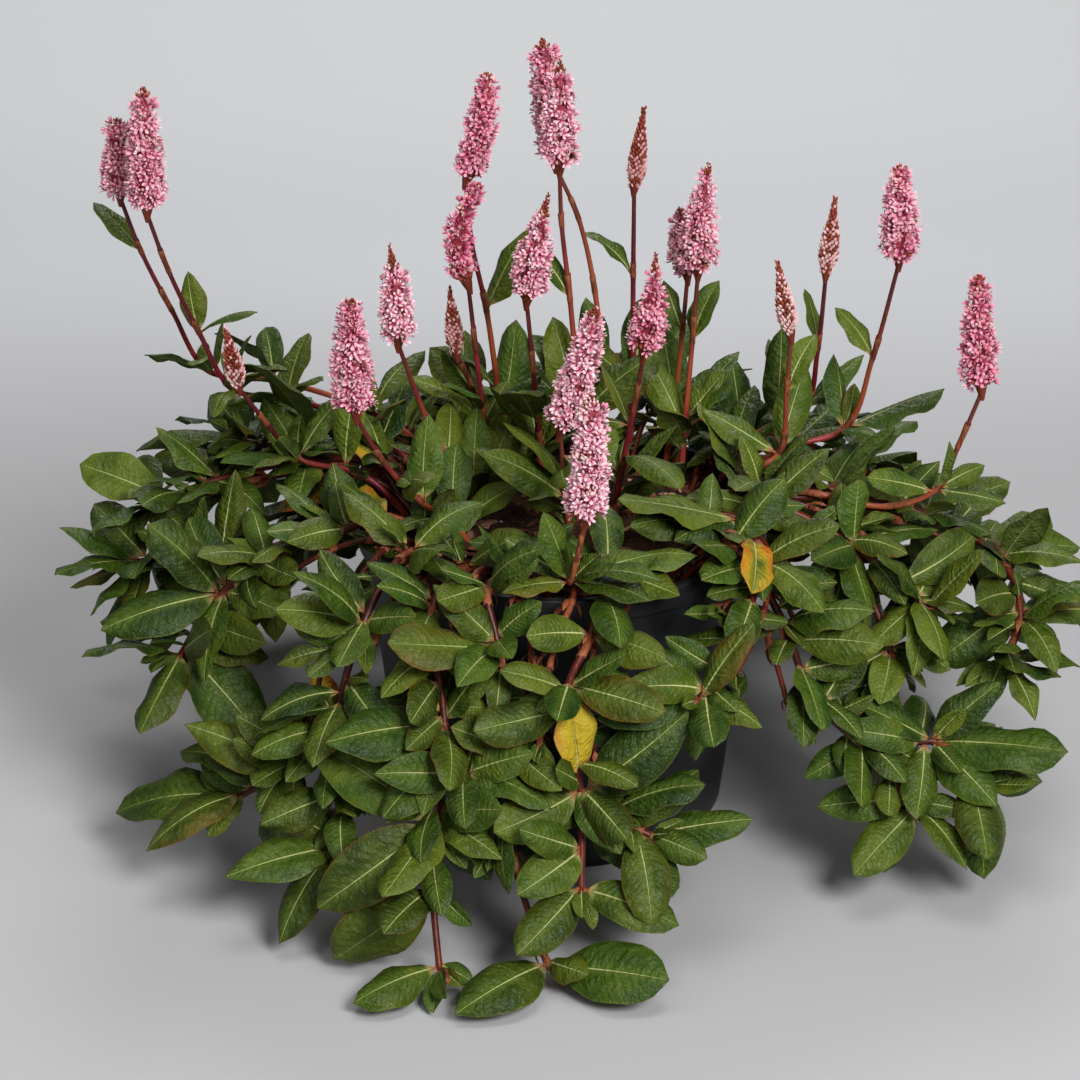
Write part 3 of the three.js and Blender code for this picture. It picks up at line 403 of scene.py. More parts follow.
# Runners, by name. Each has branches, the first of which is rooted in the compost.
RUNNERS = {
    "left": [
        {"path": [[-45, 14, 118], [-84, 28, 161], [-125, 34, 159], [-166, 28, 151], [-190, 23, 142]],
         "tufts": {1: [[100, 35, 42], [180, 15, 36, 0.6], [260, 30, 38]],
                   2: [[210, 30, 40], [300, 25, 36], [110, 40, 38], [245, -5, 36]],
                   3: [[125, 15, 50], [210, 20, 35], [325, 5, 38], [250, 15, 42], [175, 50, 38]],
                   4: [[300, -10, 38], [220, 10, 45], [120, 10, 40], [190, -25, 46], [255, -30, 44],
                       [165, 20, 46]]}},
    ],
    "left_low": [
        {"path": [[-40, -18, 118], [-80, -32, 160], [-101, -38, 157], [-137, -34, 140], [-156, -39, 125],
                  [-174, -49, 100]],
         "tufts": {1: [[125, 12, 38, 0.5], [250, -12, 24, 1.6], [200, 35, 38]],
                   2: [[200, 15, 36], [335, 0, 38], [100, 30, 36]],
                   3: [[310, 5, 30], [255, 5, 28], [110, 50, 28], [220, 30, 40], [270, -25, 38]],
                   4: [[190, 60, 46], [210, 5, 55], [320, 5, 42], [250, -25, 42], [140, 35, 40]],
                   5: [[210, 30, 52], [255, -10, 48], [320, -25, 56], [345, 10, 36], [60, 10, 34]]}},
        {"path": [[-137, -34, 140], [-166, -8, 132], [-197, 3, 122]],
         "tufts": {1: [[240, 15, 44], [130, 45, 38], [300, 15, 36]],
                   2: [[190, 40, 42], [220, 20, 46], [230, -10, 42], [265, -5, 38], [150, 30, 44],
                       [70, 5, 40]]}},
    ],
    "left_top": [
        {"path": [[-46, 20, 118], [-76, 33, 156], [-87, 38, 161], [-118, 48, 158], [-150, 60, 158]],
         "tufts": {2: [[80, 50, 42], [250, 35, 38], [180, 40, 40]],
                   3: [[285, 20, 38], [110, 35, 44], [230, 25, 42], [160, 68, 62]],
                   4: [[178, 4, 62], [120, 25, 44], [240, 10, 42], [215, -15, 40], [60, 45, 38]]}},
        {"path": [[-118, 48, 158], [-146, 92, 146], [-160, 118, 120]],
         "tufts": {1: [[160, 15, 44], [60, 20, 42]], 2: [[130, 0, 46], [190, 0, 44], [80, -10, 40]]}},
    ],
    "front_left": [
        {"path": [[-34, -34, 118], [-68, -70, 162], [-88, -103, 142], [-100, -112, 95], [-98, -120, 62],
                  [-97, -126, 44]],
         "tufts": {1: [[150, 35, 40], [290, 20, 38], [40, 45, 36]],
                   2: [[235, 60, 44], [195, 25, 40], [315, 25, 30], [250, -10, 34], [150, 35, 38]],
                   3: [[200, 10, 38], [280, -20, 34], [140, 42, 34, 0.5]],
                   5: [[205, 5, 56], [165, 25, 43], [225, -20, 50], [130, 15, 30], [300, -10, 34]]}},
        {"path": [[-100, -112, 95], [-122, -98, 68], [-146, -88, 48]],
         "tufts": {1: [[180, 30, 50], [210, 45, 32], [230, 0, 28]],
                   2: [[170, 0, 62], [110, 35, 38], [205, -8, 48], [215, -25, 26], [60, 10, 30]]}},
    ],
    "front_left_long": [
        {"path": [[-24, -34, 118], [-44, -76, 157], [-57, -100, 150], [-52, -128, 106], [-56, -146, 66],
                  [-57, -160, 42], [-54, -178, 13]],
         "tufts": {1: [[120, 40, 38], [210, -15, 30, 1.7], [330, 35, 36]],
                   2: [[200, 20, 44], [250, -10, 34], [150, 40, 36]],
                   3: [[205, 12, 56], [5, 40, 46], [110, 55, 35], [240, 0, 30], [165, 20, 34, 0.5]],
                   4: [[165, 30, 66], [212, -25, 62], [240, -25, 52], [320, -5, 36], [335, 12, 40]],
                   5: [[218, 8, 40], [205, -35, 54]], 6: [[215, -2, 42], [330, -5, 18]]}},
        {"path": [[-52, -128, 106], [-42, -142, 88]],
         "tufts": {1: [[195, 20, 44], [330, 35, 34], [345, 5, 40], [260, -15, 34]]}},
    ],
    "front": [
        {"path": [[16, -38, 118], [20, -82, 160], [12, -118, 144], [2, -130, 124], [8, -142, 78],
                  [8, -160, 42]],
         "tufts": {1: [[200, 35, 38], [350, 30, 38], [90, 50, 34]], 2: [[330, 10, 38], [210, 20, 34]],
                   3: [[195, 30, 32], [340, 40, 34], [325, 5, 46], [260, 0, 32]],
                   4: [[175, 42, 52], [5, 36, 58], [215, -5, 44], [322, -5, 38], [285, -40, 32],
                       [250, 35, 26], [200, 72, 40, 0.9]], 5: [[330, 3, 44], [240, -12, 42]]}},
        {"path": [[8, -142, 78], [24, -146, 68], [38, -148, 62]],
         "tufts": {1: [[350, 30, 34]], 2: [[5, 12, 46], [332, -8, 30], [300, -45, 30], [35, 50, 36]]}},
    ],
    "front_long": [
        {"path": [[-4, -52, 118], [-20, -86, 160], [-33, -103, 160], [-28, -118, 138], [-24, -136, 98],
                  [-22, -150, 55], [-10, -168, 18], [-6, -174, 11]],
         "tufts": {1: [[190, 35, 38], [30, 40, 36]], 2: [[305, 60, 38], [335, 8, 38], [235, 10, 34]],
                   3: [[205, 15, 52], [230, -5, 38], [195, 30, 40], [290, 5, 34], [190, -70, 20, 1.8]],
                   4: [[215, 10, 36], [310, -10, 34]], 7: [[335, 2, 56], [222, 0, 52], [285, -5, 34]]}},
    ],
    "front_right": [
        {"path": [[36, -26, 118], [66, -44, 160], [80, -50, 168], [88, -68, 154], [74, -104, 132],
                  [60, -124, 116]],
         "tufts": {1: [[214, 38, 40], [64, 35, 38], [316, 28, 36]],
                   2: [[192, 20, 58], [200, -5, 42], [355, 30, 30]],
                   3: [[200, 12, 38], [350, 45, 40], [315, 8, 40], [255, -20, 32]],
                   5: [[345, 65, 40], [205, 0, 46], [325, 5, 28], [190, 45, 28], [270, -25, 34]]}},
    ],
    "right_low": [
        {"path": [[46, -34, 118], [76, -62, 161], [99, -72, 128], [112, -78, 96], [136, -80, 72],
                  [168, -80, 72]],
         "tufts": {1: [[30, 35, 42], [250, 25, 38], [140, 40, 34]],
                   2: [[335, 35, 42], [165, 20, 42], [220, 0, 34]],
                   4: [[225, -12, 30], [305, 5, 30], [80, 25, 34]],
                   5: [[178, 30, 38], [355, 50, 40], [345, 8, 64], [265, -25, 38], [210, 15, 40],
                       [75, 20, 40]]}},
        {"path": [[136, -80, 72], [160, -98, 48]],
         "tufts": {1: [[220, -25, 44], [318, -20, 38], [335, 0, 26], [200, 0, 40]]}},
        {"path": [[168, -80, 72], [188, -88, 54]],
         "tufts": {1: [[328, 15, 28], [20, 0, 40], [60, 25, 26]]}},
    ],
    "right": [
        {"path": [[54, -18, 118], [92, -24, 162], [133, -30, 146], [166, -46, 122]],
         "tufts": {1: [[10, 50, 40], [290, 20, 36], [200, 30, 34]],
                   2: [[5, 58, 45], [230, -15, 28], [280, -25, 40], [325, 25, 30], [95, 25, 38]],
                   3: [[330, 55, 42], [195, 60, 40], [265, -20, 34], [235, -10, 32], [345, 10, 26],
                       [60, 20, 36]]}},
        {"path": [[133, -30, 146], [150, -50, 102]],
         "tufts": {1: [[262, -20, 30], [208, -18, 38], [330, 10, 30]]}},
    ],
    "right_far": [
        {"path": [[58, -2, 118], [94, 2, 161], [128, 0, 160], [168, 4, 146], [203, -10, 130],
                  [210, -38, 112], [202, -44, 94]],
         "tufts": {1: [[20, 40, 40], [250, 20, 38], [120, 35, 38]],
                   2: [[340, 62, 42], [245, -30, 28], [190, 15, 34], [60, 35, 38]],
                   3: [[70, 10, 42], [330, 10, 36], [200, 35, 38], [270, 25, 38]],
                   4: [[330, 60, 44], [340, 35, 38], [200, 20, 30], [110, 10, 36], [40, 10, 40],
                       [270, 20, 38]], 5: [[332, 55, 40], [5, 15, 38], [335, 5, 38], [215, 10, 26]],
                   6: [[325, 5, 30], [300, -20, 32], [250, -20, 28], [350, -10, 34]]}},
    ],
    "right_rear": [
        {"path": [[62, 36, 118], [72, 45, 152], [86, 60, 161], [112, 78, 150], [146, 96, 128],
                  [172, 108, 100], [184, 112, 72]],
         "tufts": {2: [[100, 50, 42], [0, 40, 36]], 3: [[40, 25, 44], [110, 20, 42], [340, 30, 36]],
                   4: [[355, 10, 44], [95, 5, 46], [50, 35, 40]],
                   5: [[20, 10, 46], [80, 0, 44], [330, 5, 40], [130, 0, 38]],
                   6: [[35, -10, 46], [350, -5, 42], [90, -15, 42], [200, -10, 34]]}},
        {"path": [[146, 96, 128], [178, 66, 116], [200, 50, 96]],
         "tufts": {1: [[10, 25, 42], [320, 10, 36]],
                   2: [[340, 5, 44], [30, 0, 44], [60, 30, 36], [300, -10, 36]]}},
    ],
    "rear_right": [
        {"path": [[36, 52, 118], [46, 70, 154], [56, 88, 161], [66, 112, 146], [78, 140, 108],
                  [92, 166, 64], [102, 184, 30]],
         "tufts": {2: [[130, 45, 42], [30, 45, 40]], 3: [[60, 20, 46], [120, 10, 42], [0, 20, 38]],
                   4: [[90, 15, 48], [30, 10, 44], [150, 5, 42], [60, 50, 36]],
                   5: [[50, 10, 46], [110, 0, 46], [345, 0, 42], [165, 5, 40]],
                   6: [[70, -8, 46], [15, -5, 46], [130, -8, 44], [200, 0, 34]]}},
        {"path": [[78, 140, 108], [118, 144, 84], [144, 146, 58]],
         "tufts": {1: [[30, 15, 44], [80, 10, 40]],
                   2: [[45, -5, 46], [345, -5, 44], [100, -5, 42], [20, 40, 34]]}},
    ],
    "rear": [
        {"path": [[6, 62, 118], [4, 92, 161], [0, 118, 144], [-4, 142, 104], [2, 164, 60], [6, 184, 22],
                  [8, 196, 12]],
         "tufts": {1: [[60, 50, 42], [140, 45, 42]],
                   2: [[70, 15, 46], [130, 15, 44], [20, 15, 38], [180, 10, 36]],
                   3: [[95, 20, 48], [40, 10, 44], [155, 5, 44]],
                   4: [[70, 10, 48], [125, 5, 46], [10, 0, 42], [180, 6, 42]],
                   6: [[85, 0, 46], [30, 0, 46], [145, 0, 44]]}},
        {"path": [[-4, 142, 104], [32, 158, 74]],
         "tufts": {1: [[75, 5, 44], [20, -5, 42], [140, 20, 34]]}},
    ],
    "rear_left": [
        {"path": [[-28, 57, 118], [-36, 73, 154], [-46, 92, 160], [-58, 118, 140], [-70, 142, 100],
                  [-82, 164, 56], [-90, 182, 22]],
         "tufts": {2: [[100, 50, 42], [190, 40, 38]], 3: [[110, 15, 46], [60, 15, 42], [165, 10, 42]],
                   4: [[130, 15, 48], [75, 5, 46], [180, 5, 44], [110, 50, 36]],
                   5: [[105, 5, 46], [155, 0, 46], [50, 0, 42], [205, 0, 38]],
                   6: [[120, -5, 46], [70, -5, 44], [170, -5, 44], [20, 0, 34]]}},
        {"path": [[-70, 142, 100], [-44, 168, 66]],
         "tufts": {1: [[100, 0, 44], [50, -5, 42], [150, 10, 36]]}},
    ],
    "left_rear": [
        {"path": [[-40, 50, 118], [-54, 64, 154], [-76, 90, 158], [-98, 108, 134], [-118, 130, 92],
                  [-134, 150, 52], [-144, 160, 24]],
         "tufts": {3: [[150, 10, 44], [100, 15, 42], [215, 10, 38]],
                   4: [[135, 15, 46], [185, 0, 46], [80, 5, 42]],
                   5: [[140, 5, 46], [95, 0, 42], [195, 0, 44], [60, 0, 36]],
                   6: [[130, -5, 44], [180, -5, 46], [225, 0, 42], [85, -5, 40]]}},
        {"path": [[-118, 130, 92], [-160, 100, 76], [-186, 84, 56]],
         "tufts": {1: [[150, 15, 44], [215, 5, 42], [100, 30, 36]],
                   2: [[160, 0, 46], [200, 5, 46], [240, -5, 40], [120, -5, 40]]}},
    ],
}


# Points and directions

def unit(vector):
    vector = np.asarray(vector, float)
    return vector / np.linalg.norm(vector)


def heading(bearing, rise):
    """Unit vector of a compass bearing that rises by so many degrees."""
    turn = math.radians(bearing)
    lift = math.radians(rise)
    return np.array([math.cos(lift) * math.cos(turn), math.cos(lift) * math.sin(turn), math.sin(lift)])


def bearing_and_rise(direction):
    return math.degrees(math.atan2(direction[1], direction[0])), math.degrees(math.asin(direction[2]))


def turned(vector, axis, degrees):
    """vector turned about a unit axis."""
    angle = math.radians(degrees)
    along = axis * np.dot(axis, vector)
    return along + (vector - along) * math.cos(angle) + np.cross(axis, vector) * math.sin(angle)


def about_z(points, degrees):
    angle = math.radians(degrees)
    sine = math.sin(angle)
    cosine = math.cos(angle)
    return points @ np.array([[cosine, sine, 0], [-sine, cosine, 0], [0, 0, 1]])


def eased(value, start, end):
    """0 up to start, 1 from end, and a smooth rise between."""
    share = np.clip((np.asarray(value, float) - start) / (end - start), 0, 1)
    return share * share * (3 - 2 * share)


def between(where, places, rows):
    """The point that belongs at a place, from rows of points and the places they stand for."""
    return np.stack([np.interp(where, places, rows[:, axis]) for axis in range(3)], axis=-1)


def rows_of(*columns):
    """Rows of three numbers, from three columns of them or single numbers."""
    return np.stack(np.broadcast_arrays(*columns), axis=-1).astype(float)


def pull(first, second, start, end, time):
    """The point between two that a time between start and end stands for."""
    return ((end - time) * first + (time - start) * second) / (end - start)


def smooth_path(points, step):
    """Points about a step apart on a centripetal Catmull-Rom curve through the given points."""
    given = [np.asarray(point, float) for point in points]
    given = [2 * given[0] - given[1], *given, 2 * given[-1] - given[-2]]
    found = [given[1]]
    for four in zip(given, given[1:], given[2:], given[3:]):
        gaps = [math.sqrt(np.linalg.norm(after - before)) for before, after in zip(four, four[1:])]
        knots = np.cumsum([0, *gaps])
        count = max(2, round(float(np.linalg.norm(four[2] - four[1])) / step))
        for share in np.linspace(0, 1, count + 1)[1:]:
            time = knots[1] + share * (knots[2] - knots[1])
            first, second, third = (
                pull(four[number], four[number + 1], knots[number], knots[number + 1], time)
                for number in range(3))
            early = pull(first, second, knots[0], knots[2], time)
            late = pull(second, third, knots[1], knots[3], time)
            found.append(pull(early, late, knots[1], knots[2], time))
    return np.array(found)


def frames_along(points):
    """For each point of a path its tangent and two directions across it that never twist."""
    tangents = np.gradient(points, axis=0)
    tangents /= np.linalg.norm(tangents, axis=1)[:, None]
    side = np.cross(tangents[0], [0.0, 0.0, 1.0])
    if np.linalg.norm(side) < 0.1:
        side = np.cross(tangents[0], [0.0, 1.0, 0.0])
    sides = []
    for tangent in tangents:
        side = unit(side - tangent * np.dot(tangent, side))
        sides.append(side)
    sides = np.array(sides)
    return tangents, sides, np.cross(tangents, sides)


# Meshes

def ring_quads(starts, onward, around):
    """Quads between rings, from the first point of each ring and of the one after it."""
    ring = np.arange(around)
    after = (ring + 1) % around
    return np.stack([starts + ring, onward + ring, onward + after, starts + after], axis=-1).reshape(-1, 4)


def shell_faces(rows, around, closed=False):
    """Faces of a skin made of rings. Its ends are capped, or its last ring joins the first one."""
    starts = np.arange(rows if closed else rows - 1)[:, None] * around
    quads = ring_quads(starts, (starts + around) % (rows * around), around)
    if closed:
        return [quads]
    ring = np.arange(around)
    last = (rows - 1) * around + ring[::-1]
    return [quads, ring[None, :], last[None, :]]


def spindle_faces(rows, around):
    """Faces of a closed body with a point at each end: the first point, the rings, and the last point."""
    ring = np.arange(around)
    after = (ring + 1) % around
    starts = 1 + np.arange(rows - 1)[:, None] * around
    last = 1 + (rows - 1) * around
    foot = np.stack([np.zeros(around, int), 1 + ring, 1 + after], axis=-1)
    head = np.stack([np.full(around, last + around), last + after, last + ring], axis=-1)
    return [foot, ring_quads(starts, starts + around, around), head]


def spindle(spine, widths, heights, around):
    """A closed body with pointed ends. Each middle point of its spine has an oval, so wide and so high."""
    _, sides, ups = frames_along(np.array(spine, float))
    angles = math.pi / 2 + np.arange(around) * 2 * math.pi / around
    points = [np.array([spine[0]], float)]
    for index, (width, height) in enumerate(zip(widths, heights), 1):
        wide = sides[index] * width
        high = ups[index] * height
        points.append(spine[index] + np.cos(angles)[:, None] * wide - np.sin(angles)[:, None] * high)
    points.append(np.array([spine[-1]], float))
    return np.concatenate(points), spindle_faces(len(spine) - 2, around)


def round_rings(points, radii, around):
    """Rings of a round skin along a path. Each runs clockwise, seen from the path's far end."""
    _, sides, ups = frames_along(points)
    angles = (np.arange(around) * 2 * math.pi / around)[None, :, None]
    outward = sides[:, None, :] * np.cos(angles) - ups[:, None, :] * np.sin(angles)
    return points[:, None, :] + outward * np.asarray(radii, float)[:, None, None]


def add_object(name, data):
    made = bpy.data.objects.new(name, data)
    bpy.context.scene.collection.objects.link(made)
    return made


class Surface:
    """Points, faces and point values gathered into one mesh. Points are given in millimetres."""

    def __init__(self):
        self.points = []
        self.faces = {}
        self.values = {}
        self.total = 0

    def add(self, points, faces, **values):
        points = np.asarray(points, float).reshape(-1, 3)
        for group in faces:
            self.faces.setdefault(group.shape[1], []).append(group + self.total)
        for name, value in values.items():
            self.values.setdefault(name, []).append(np.broadcast_to(value, (len(points), 3)))
        self.points.append(points)
        self.total += len(points)

    def add_copies(self, points, faces, places, turns, **values):
        """One copy of a shape at each place, turned and scaled by its matrix. A value is for the shape's
        points, or an array for the copies, which is then repeated over each copy's points."""
        count = len(places)
        size = len(points)
        moved = np.einsum("nij,vj->nvi", turns, points) + np.asarray(places)[:, None, :]
        shifts = np.arange(count)[:, None, None] * size
        spread = [(group + shifts).reshape(-1, group.shape[1]) for group in faces]
        full = {name: np.broadcast_to(value, (count, size, 3)).reshape(-1, 3)
                for name, value in values.items()}
        self.add(moved, spread, **full)

    def made(self, name):
        """The mesh as an object, in metres."""
        mesh = bpy.data.meshes.new(name)
        points = np.concatenate(self.points) * MM
        groups = [np.concatenate(groups) for groups in self.faces.values()]
        corners = np.concatenate([group.ravel() for group in groups])
        sizes = np.concatenate([np.full(len(group), group.shape[1]) for group in groups])
        mesh.vertices.add(len(points))
        mesh.vertices.foreach_set("co", points.ravel())
        mesh.loops.add(len(corners))
        mesh.loops.foreach_set("vertex_index", corners)
        mesh.polygons.add(len(sizes))
        mesh.polygons.foreach_set("loop_start", np.concatenate([[0], np.cumsum(sizes)[:-1]]))
        mesh.update(calc_edges=True)
        mesh.validate()
        shade(mesh, SHARP_ANGLE)
        for label, values in self.values.items():
            layer = mesh.attributes.new(label, "FLOAT_VECTOR", "POINT")
            layer.data.foreach_set("vector", np.concatenate(values).ravel())
        return add_object(name, mesh)


def shade(mesh, sharp_angle):
    """Smooth shading, but for edges that turn by more than an angle."""
    mesh.shade_smooth()
    mesh.set_sharp_from_angle(angle=math.radians(sharp_angle))


def add_piece(name, surface, material, slot, *nodes):
    """Adds a surface to the object: it rides on the body and stands for the CAD nodes named."""
    piece = surface.made(name)
    piece.data.materials.append(material)
    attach(piece, BODY)
    if nodes:
        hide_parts(*nodes)
    return piece


class Crowd:
    """Things already placed, which new leaves keep clear of."""

    def __init__(self):
        self.trees = []
        self.lows = []
        self.highs = []

    def add(self, points, quads):
        points = np.asarray(points).reshape(-1, 3)
        self.trees.append(BVHTree.FromPolygons(points.tolist(), quads.tolist()))
        self.lows.append(points.min(axis=0))
        self.highs.append(points.max(axis=0))

    def add_tube(self, points, radii, around=TUBE_SIDES):
        self.add(round_rings(points, radii, around), shell_faces(len(points), around)[0])

    def hits(self, points, quads):
        """How many faces of the crowd a shape cuts through."""
        points = np.asarray(points).reshape(-1, 3)
        low = points.min(axis=0) - TOUCH_MARGIN
        high = points.max(axis=0) + TOUCH_MARGIN
        near = np.all(np.array(self.lows) < high, axis=1) & np.all(np.array(self.highs) > low, axis=1)
        if not near.any():
            return 0
        tree = BVHTree.FromPolygons(points.tolist(), quads.tolist())
        return sum(len(tree.overlap(self.trees[index])) for index in np.flatnonzero(near))


# Leaves. A leaf's place is where it starts, its bearing and rise, its length, and its roll about that line.

Style = namedtuple("Style", "width taper droop bend twist fold curl wave phase peak tone age mottle")


def leaf_style(chance, age=0.0, young=False, bright=0.0):
    """How one leaf has grown. The bright ones of a flower stem are slender."""
    ranges = dict(GROWN)
    if young:
        ranges.update(YOUNG)
    elif age > DRY_AGE:
        ranges.update(DRY)
    elif age > WITHERING_AGE:
        ranges.update(WITHERING)
    drawn = {name: chance.uniform(*ends) for name, ends in ranges.items()}
    drawn["width"] -= SLENDERNESS * bright
    tone = chance.gauss(YOUNG_TONE if young else bright, TONE_SPREAD)
    return Style(**drawn, tone=tone, age=age, mottle=max(0.0, chance.gauss(0.0, MOTTLE_SPREAD)))


def half_width(share, width, peak, taper):
    """Half the blade's width at a share of the leaf's length: widest at its peak, with a short tip."""
    blade = np.clip((share - PETIOLE_SHARE) / (1 - PETIOLE_SHARE), 0, 1)
    tip_taper = taper * (1 - peak) / peak
    swell = (blade / peak) ** taper * ((1 - blade) / (1 - peak)) ** tip_taper
    stalk = PETIOLE_HALF_WIDTH * (1 - 0.9 * eased(share, 0.6, 1.0))
    return np.maximum(0.5 * width * swell, stalk)


def leaf_facing(point):
    """The way leaves near a point turn their upper faces: up over the pot, and outward down its sides."""
    x, y, z = point
    reach = math.hypot(x, y)
    low = 1 - float(eased(z, *LOW_BAND))
    lean = OUTWARD_LEAN * float(eased(reach, *LEAN_BAND)) * (1 + LOW_EXTRA * low)
    return unit([SIDE_SHARE * lean * x / reach, lean * y / reach - FRONT_LEAN, 1])


def leaf_axes(place):
    """The leaf's length, its width and the way its upper face looks."""
    base, bearing, rise, length, roll = place
    along = heading(bearing, rise)
    outward = leaf_facing(base + along * length / 2)
    up = outward - along * np.dot(along, outward) + UPRIGHT_SHARE * heading(bearing, rise + 90)
    up = turned(unit(up), along, roll)
    return along, np.cross(up, along), up


def leaf_top(place, style, shares, columns):
    """The leaf's upper face as rows of points along it, and the distance of each from the midrib."""
    base, _, _, length, _ = place
    along, across, up = leaf_axes(place)
    share = shares[:, None]
    side = columns[None, :]
    half = half_width(share, length * style.width, style.peak, style.taper)
    spine = (base + along * (length * share)[..., None]
             - up * (style.droop * length * share ** DROOP_POWER)[..., None]
             + across * (style.bend * length * share ** 2)[..., None])
    slope = DROOP_POWER * style.droop * share ** (DROOP_POWER - 1)
    local_up = up + along * slope[..., None]
    local_up = local_up / np.linalg.norm(local_up, axis=-1, keepdims=True)
    twist = np.radians(style.twist * share)[..., None]
    across_here = across * np.cos(twist) + local_up * np.sin(twist)
    up_here = local_up * np.cos(twist) - across * np.sin(twist)
    offset = side * half
    grown = eased(share, PETIOLE_SHARE, 0.3)
    wave = np.sin(share * EDGE_WAVES + style.phase + EDGE_OFFSET * np.sign(side))
    ripple = half * style.wave * wave * side ** 2 * grown
    lift = grown * half * (style.fold * np.abs(side) - style.curl * np.abs(side) ** CURL_POWER) + ripple
    return spine + across_here * offset[..., None] + up_here * lift[..., None], offset


def leaf_rings(top):
    """Rings around a leaf: its upper face from left to right, then its under face back again."""
    normals = np.cross(np.gradient(top, axis=0), np.gradient(top, axis=1))
    normals /= np.linalg.norm(normals, axis=-1, keepdims=True)
    rib = np.exp(-(LEAF_COLUMNS[None, :] / MIDRIB_WIDTH) ** 2) * (1 - MIDRIB_FADE * LEAF_SHARES[:, None])
    under = top - normals * (LEAF_THICKNESS + MIDRIB_THICKNESS * rib)[..., None]
    return np.concatenate([top, under[:, UNDER_COLUMNS]], axis=1)


def sheet_faces(rows, columns):
    """Quads of an open sheet of rows and columns of points."""
    corner = (np.arange(rows - 1)[:, None] * columns + np.arange(columns - 1)).reshape(-1)
    return np.stack([corner, corner + columns, corner + columns + 1, corner + 1], axis=-1)


LEAF_SHARES = np.concatenate([[0, PETIOLE_SHARE / 2], np.linspace(PETIOLE_SHARE, 1, LEAF_ROWS - 1)])
LEAF_AROUND = len(LEAF_COLUMNS) + len(UNDER_COLUMNS)
LEAF_FACES = shell_faces(len(LEAF_SHARES), LEAF_AROUND)
IS_UNDER = np.arange(LEAF_AROUND) >= len(LEAF_COLUMNS)
TEST_SHARES = np.linspace(TEST_START, 1, TEST_ROWS)
TEST_FACES = sheet_faces(len(TEST_SHARES), len(TEST_COLUMNS))


def add_leaf(surface, place, style):
    """Adds one leaf as a thin closed body. leaf_place holds each point's share of the length, its share of
    the half width and its distance from the midrib; leaf_kind the tone, age and mottling; leaf_side where
    the under face is and a number that differs from leaf to leaf."""
    top, offset = leaf_top(place, style, LEAF_SHARES, LEAF_COLUMNS)
    face = rows_of(LEAF_SHARES[:, None], LEAF_COLUMNS, offset)
    where = np.concatenate([face, face[:, UNDER_COLUMNS]], axis=1)
    sides = np.tile(rows_of(IS_UNDER, style.phase, 0), (len(LEAF_SHARES), 1))
    surface.add(leaf_rings(top), LEAF_FACES, leaf_place=where.reshape(-1, 3),
                leaf_kind=[style.tone, style.age, style.mottle], leaf_side=sides)


def fitted_leaf(crowd, place, style, must_fit):
    """The first way to lay a leaf that cuts through nothing. A leaf that must grow takes the best way."""
    base, bearing, rise, length, roll = place
    best = None
    fewest = None
    for turn, lift, share in FITTINGS if must_fit else FITTINGS[:FREE_TRIES]:
        tried = (base, bearing + turn, rise + lift, length * share, roll)
        top, _ = leaf_top(tried, style, TEST_SHARES, TEST_COLUMNS)
        if top[..., 2].min() < GAP + LEAF_THICKNESS + MIDRIB_THICKNESS:
            continue
        cuts = crowd.hits(top, TEST_FACES)
        if cuts == 0:
            best = tried
            break
        if must_fit and (fewest is None or cuts < fewest):
            best = tried
            fewest = cuts
    if best is not None:
        top, _ = leaf_top(best, style, TEST_SHARES, TEST_COLUMNS)
        crowd.add(top, TEST_FACES)
    return best


# Shoots: a stem with its branches, and the leaves that grow on it

class Branch:
    """One stem of a shoot: its smooth line, how far along each point is, and its nodes."""

    def __init__(self, path, radius, leafy_tip):
        ends = [np.asarray(point, float) for point in path]
        if leafy_tip:
            ends.append(ends[-1] + unit(ends[-1] - ends[-2]) * BUD_LENGTH)
        self.points = smooth_path(ends, STEM_STEP)
        steps = np.linalg.norm(np.diff(self.points, axis=0), axis=1)
        self.distances = np.concatenate([[0], np.cumsum(steps)])
        self.length = self.distances[-1]
        self.nodes = [self.nearest(point) for point in path]
        self.radius = radius
        self.leafy_tip = leafy_tip

    def nearest(self, point):
        """The distance along the stem at which it passes a point."""
        gaps = np.linalg.norm(self.points - np.asarray(point, float), axis=1)
        return self.distances[int(np.argmin(gaps))]

    def at(self, distance):
        return between(distance, self.distances, self.points)

    def direction(self, distance):
        return unit(self.at(min(distance + 2, self.length)) - self.at(max(distance - 2, 0)))

    def thickness(self, distances):
        """Radius along the stem: it tapers, and swells at its nodes."""
        foot, lost = RUNNER_TAPER if self.leafy_tip else FLOWER_STEM_TAPER
        share = np.asarray(distances, float) / self.length
        swelling = sum(NODE_SWELLING * np.exp(-((distances - node) / NODE_REACH) ** 2)
                       for node in self.nodes[1:])
        return self.radius * (foot - lost * share + swelling)

    def leaves_the_compost(self):
        """The distance at which the stem has come out of the compost."""
        above = self.points[:, 2] > COMPOST_TOP + LEAVES_ABOVE
        return self.distances[int(np.argmax(above))]


def companion(branch, chance, side):
    """A thinner stem that comes out of the compost beside a branch and runs along it part of the way."""
    reach = branch.length * chance.uniform(*COMPANION_REACH)
    path = []
    for distance in np.linspace(0, reach, COMPANION_POINTS):
        out = leaf_facing(branch.at(distance))
        aside = unit(np.cross(branch.direction(distance), out)) * side
        sunk = out * COMPANION_SINK * distance / branch.length
        path.append(branch.at(distance) + aside * chance.uniform(*COMPANION_GAP) - sunk)
    return Branch(path, branch.radius * COMPANION_THICKNESS, True)


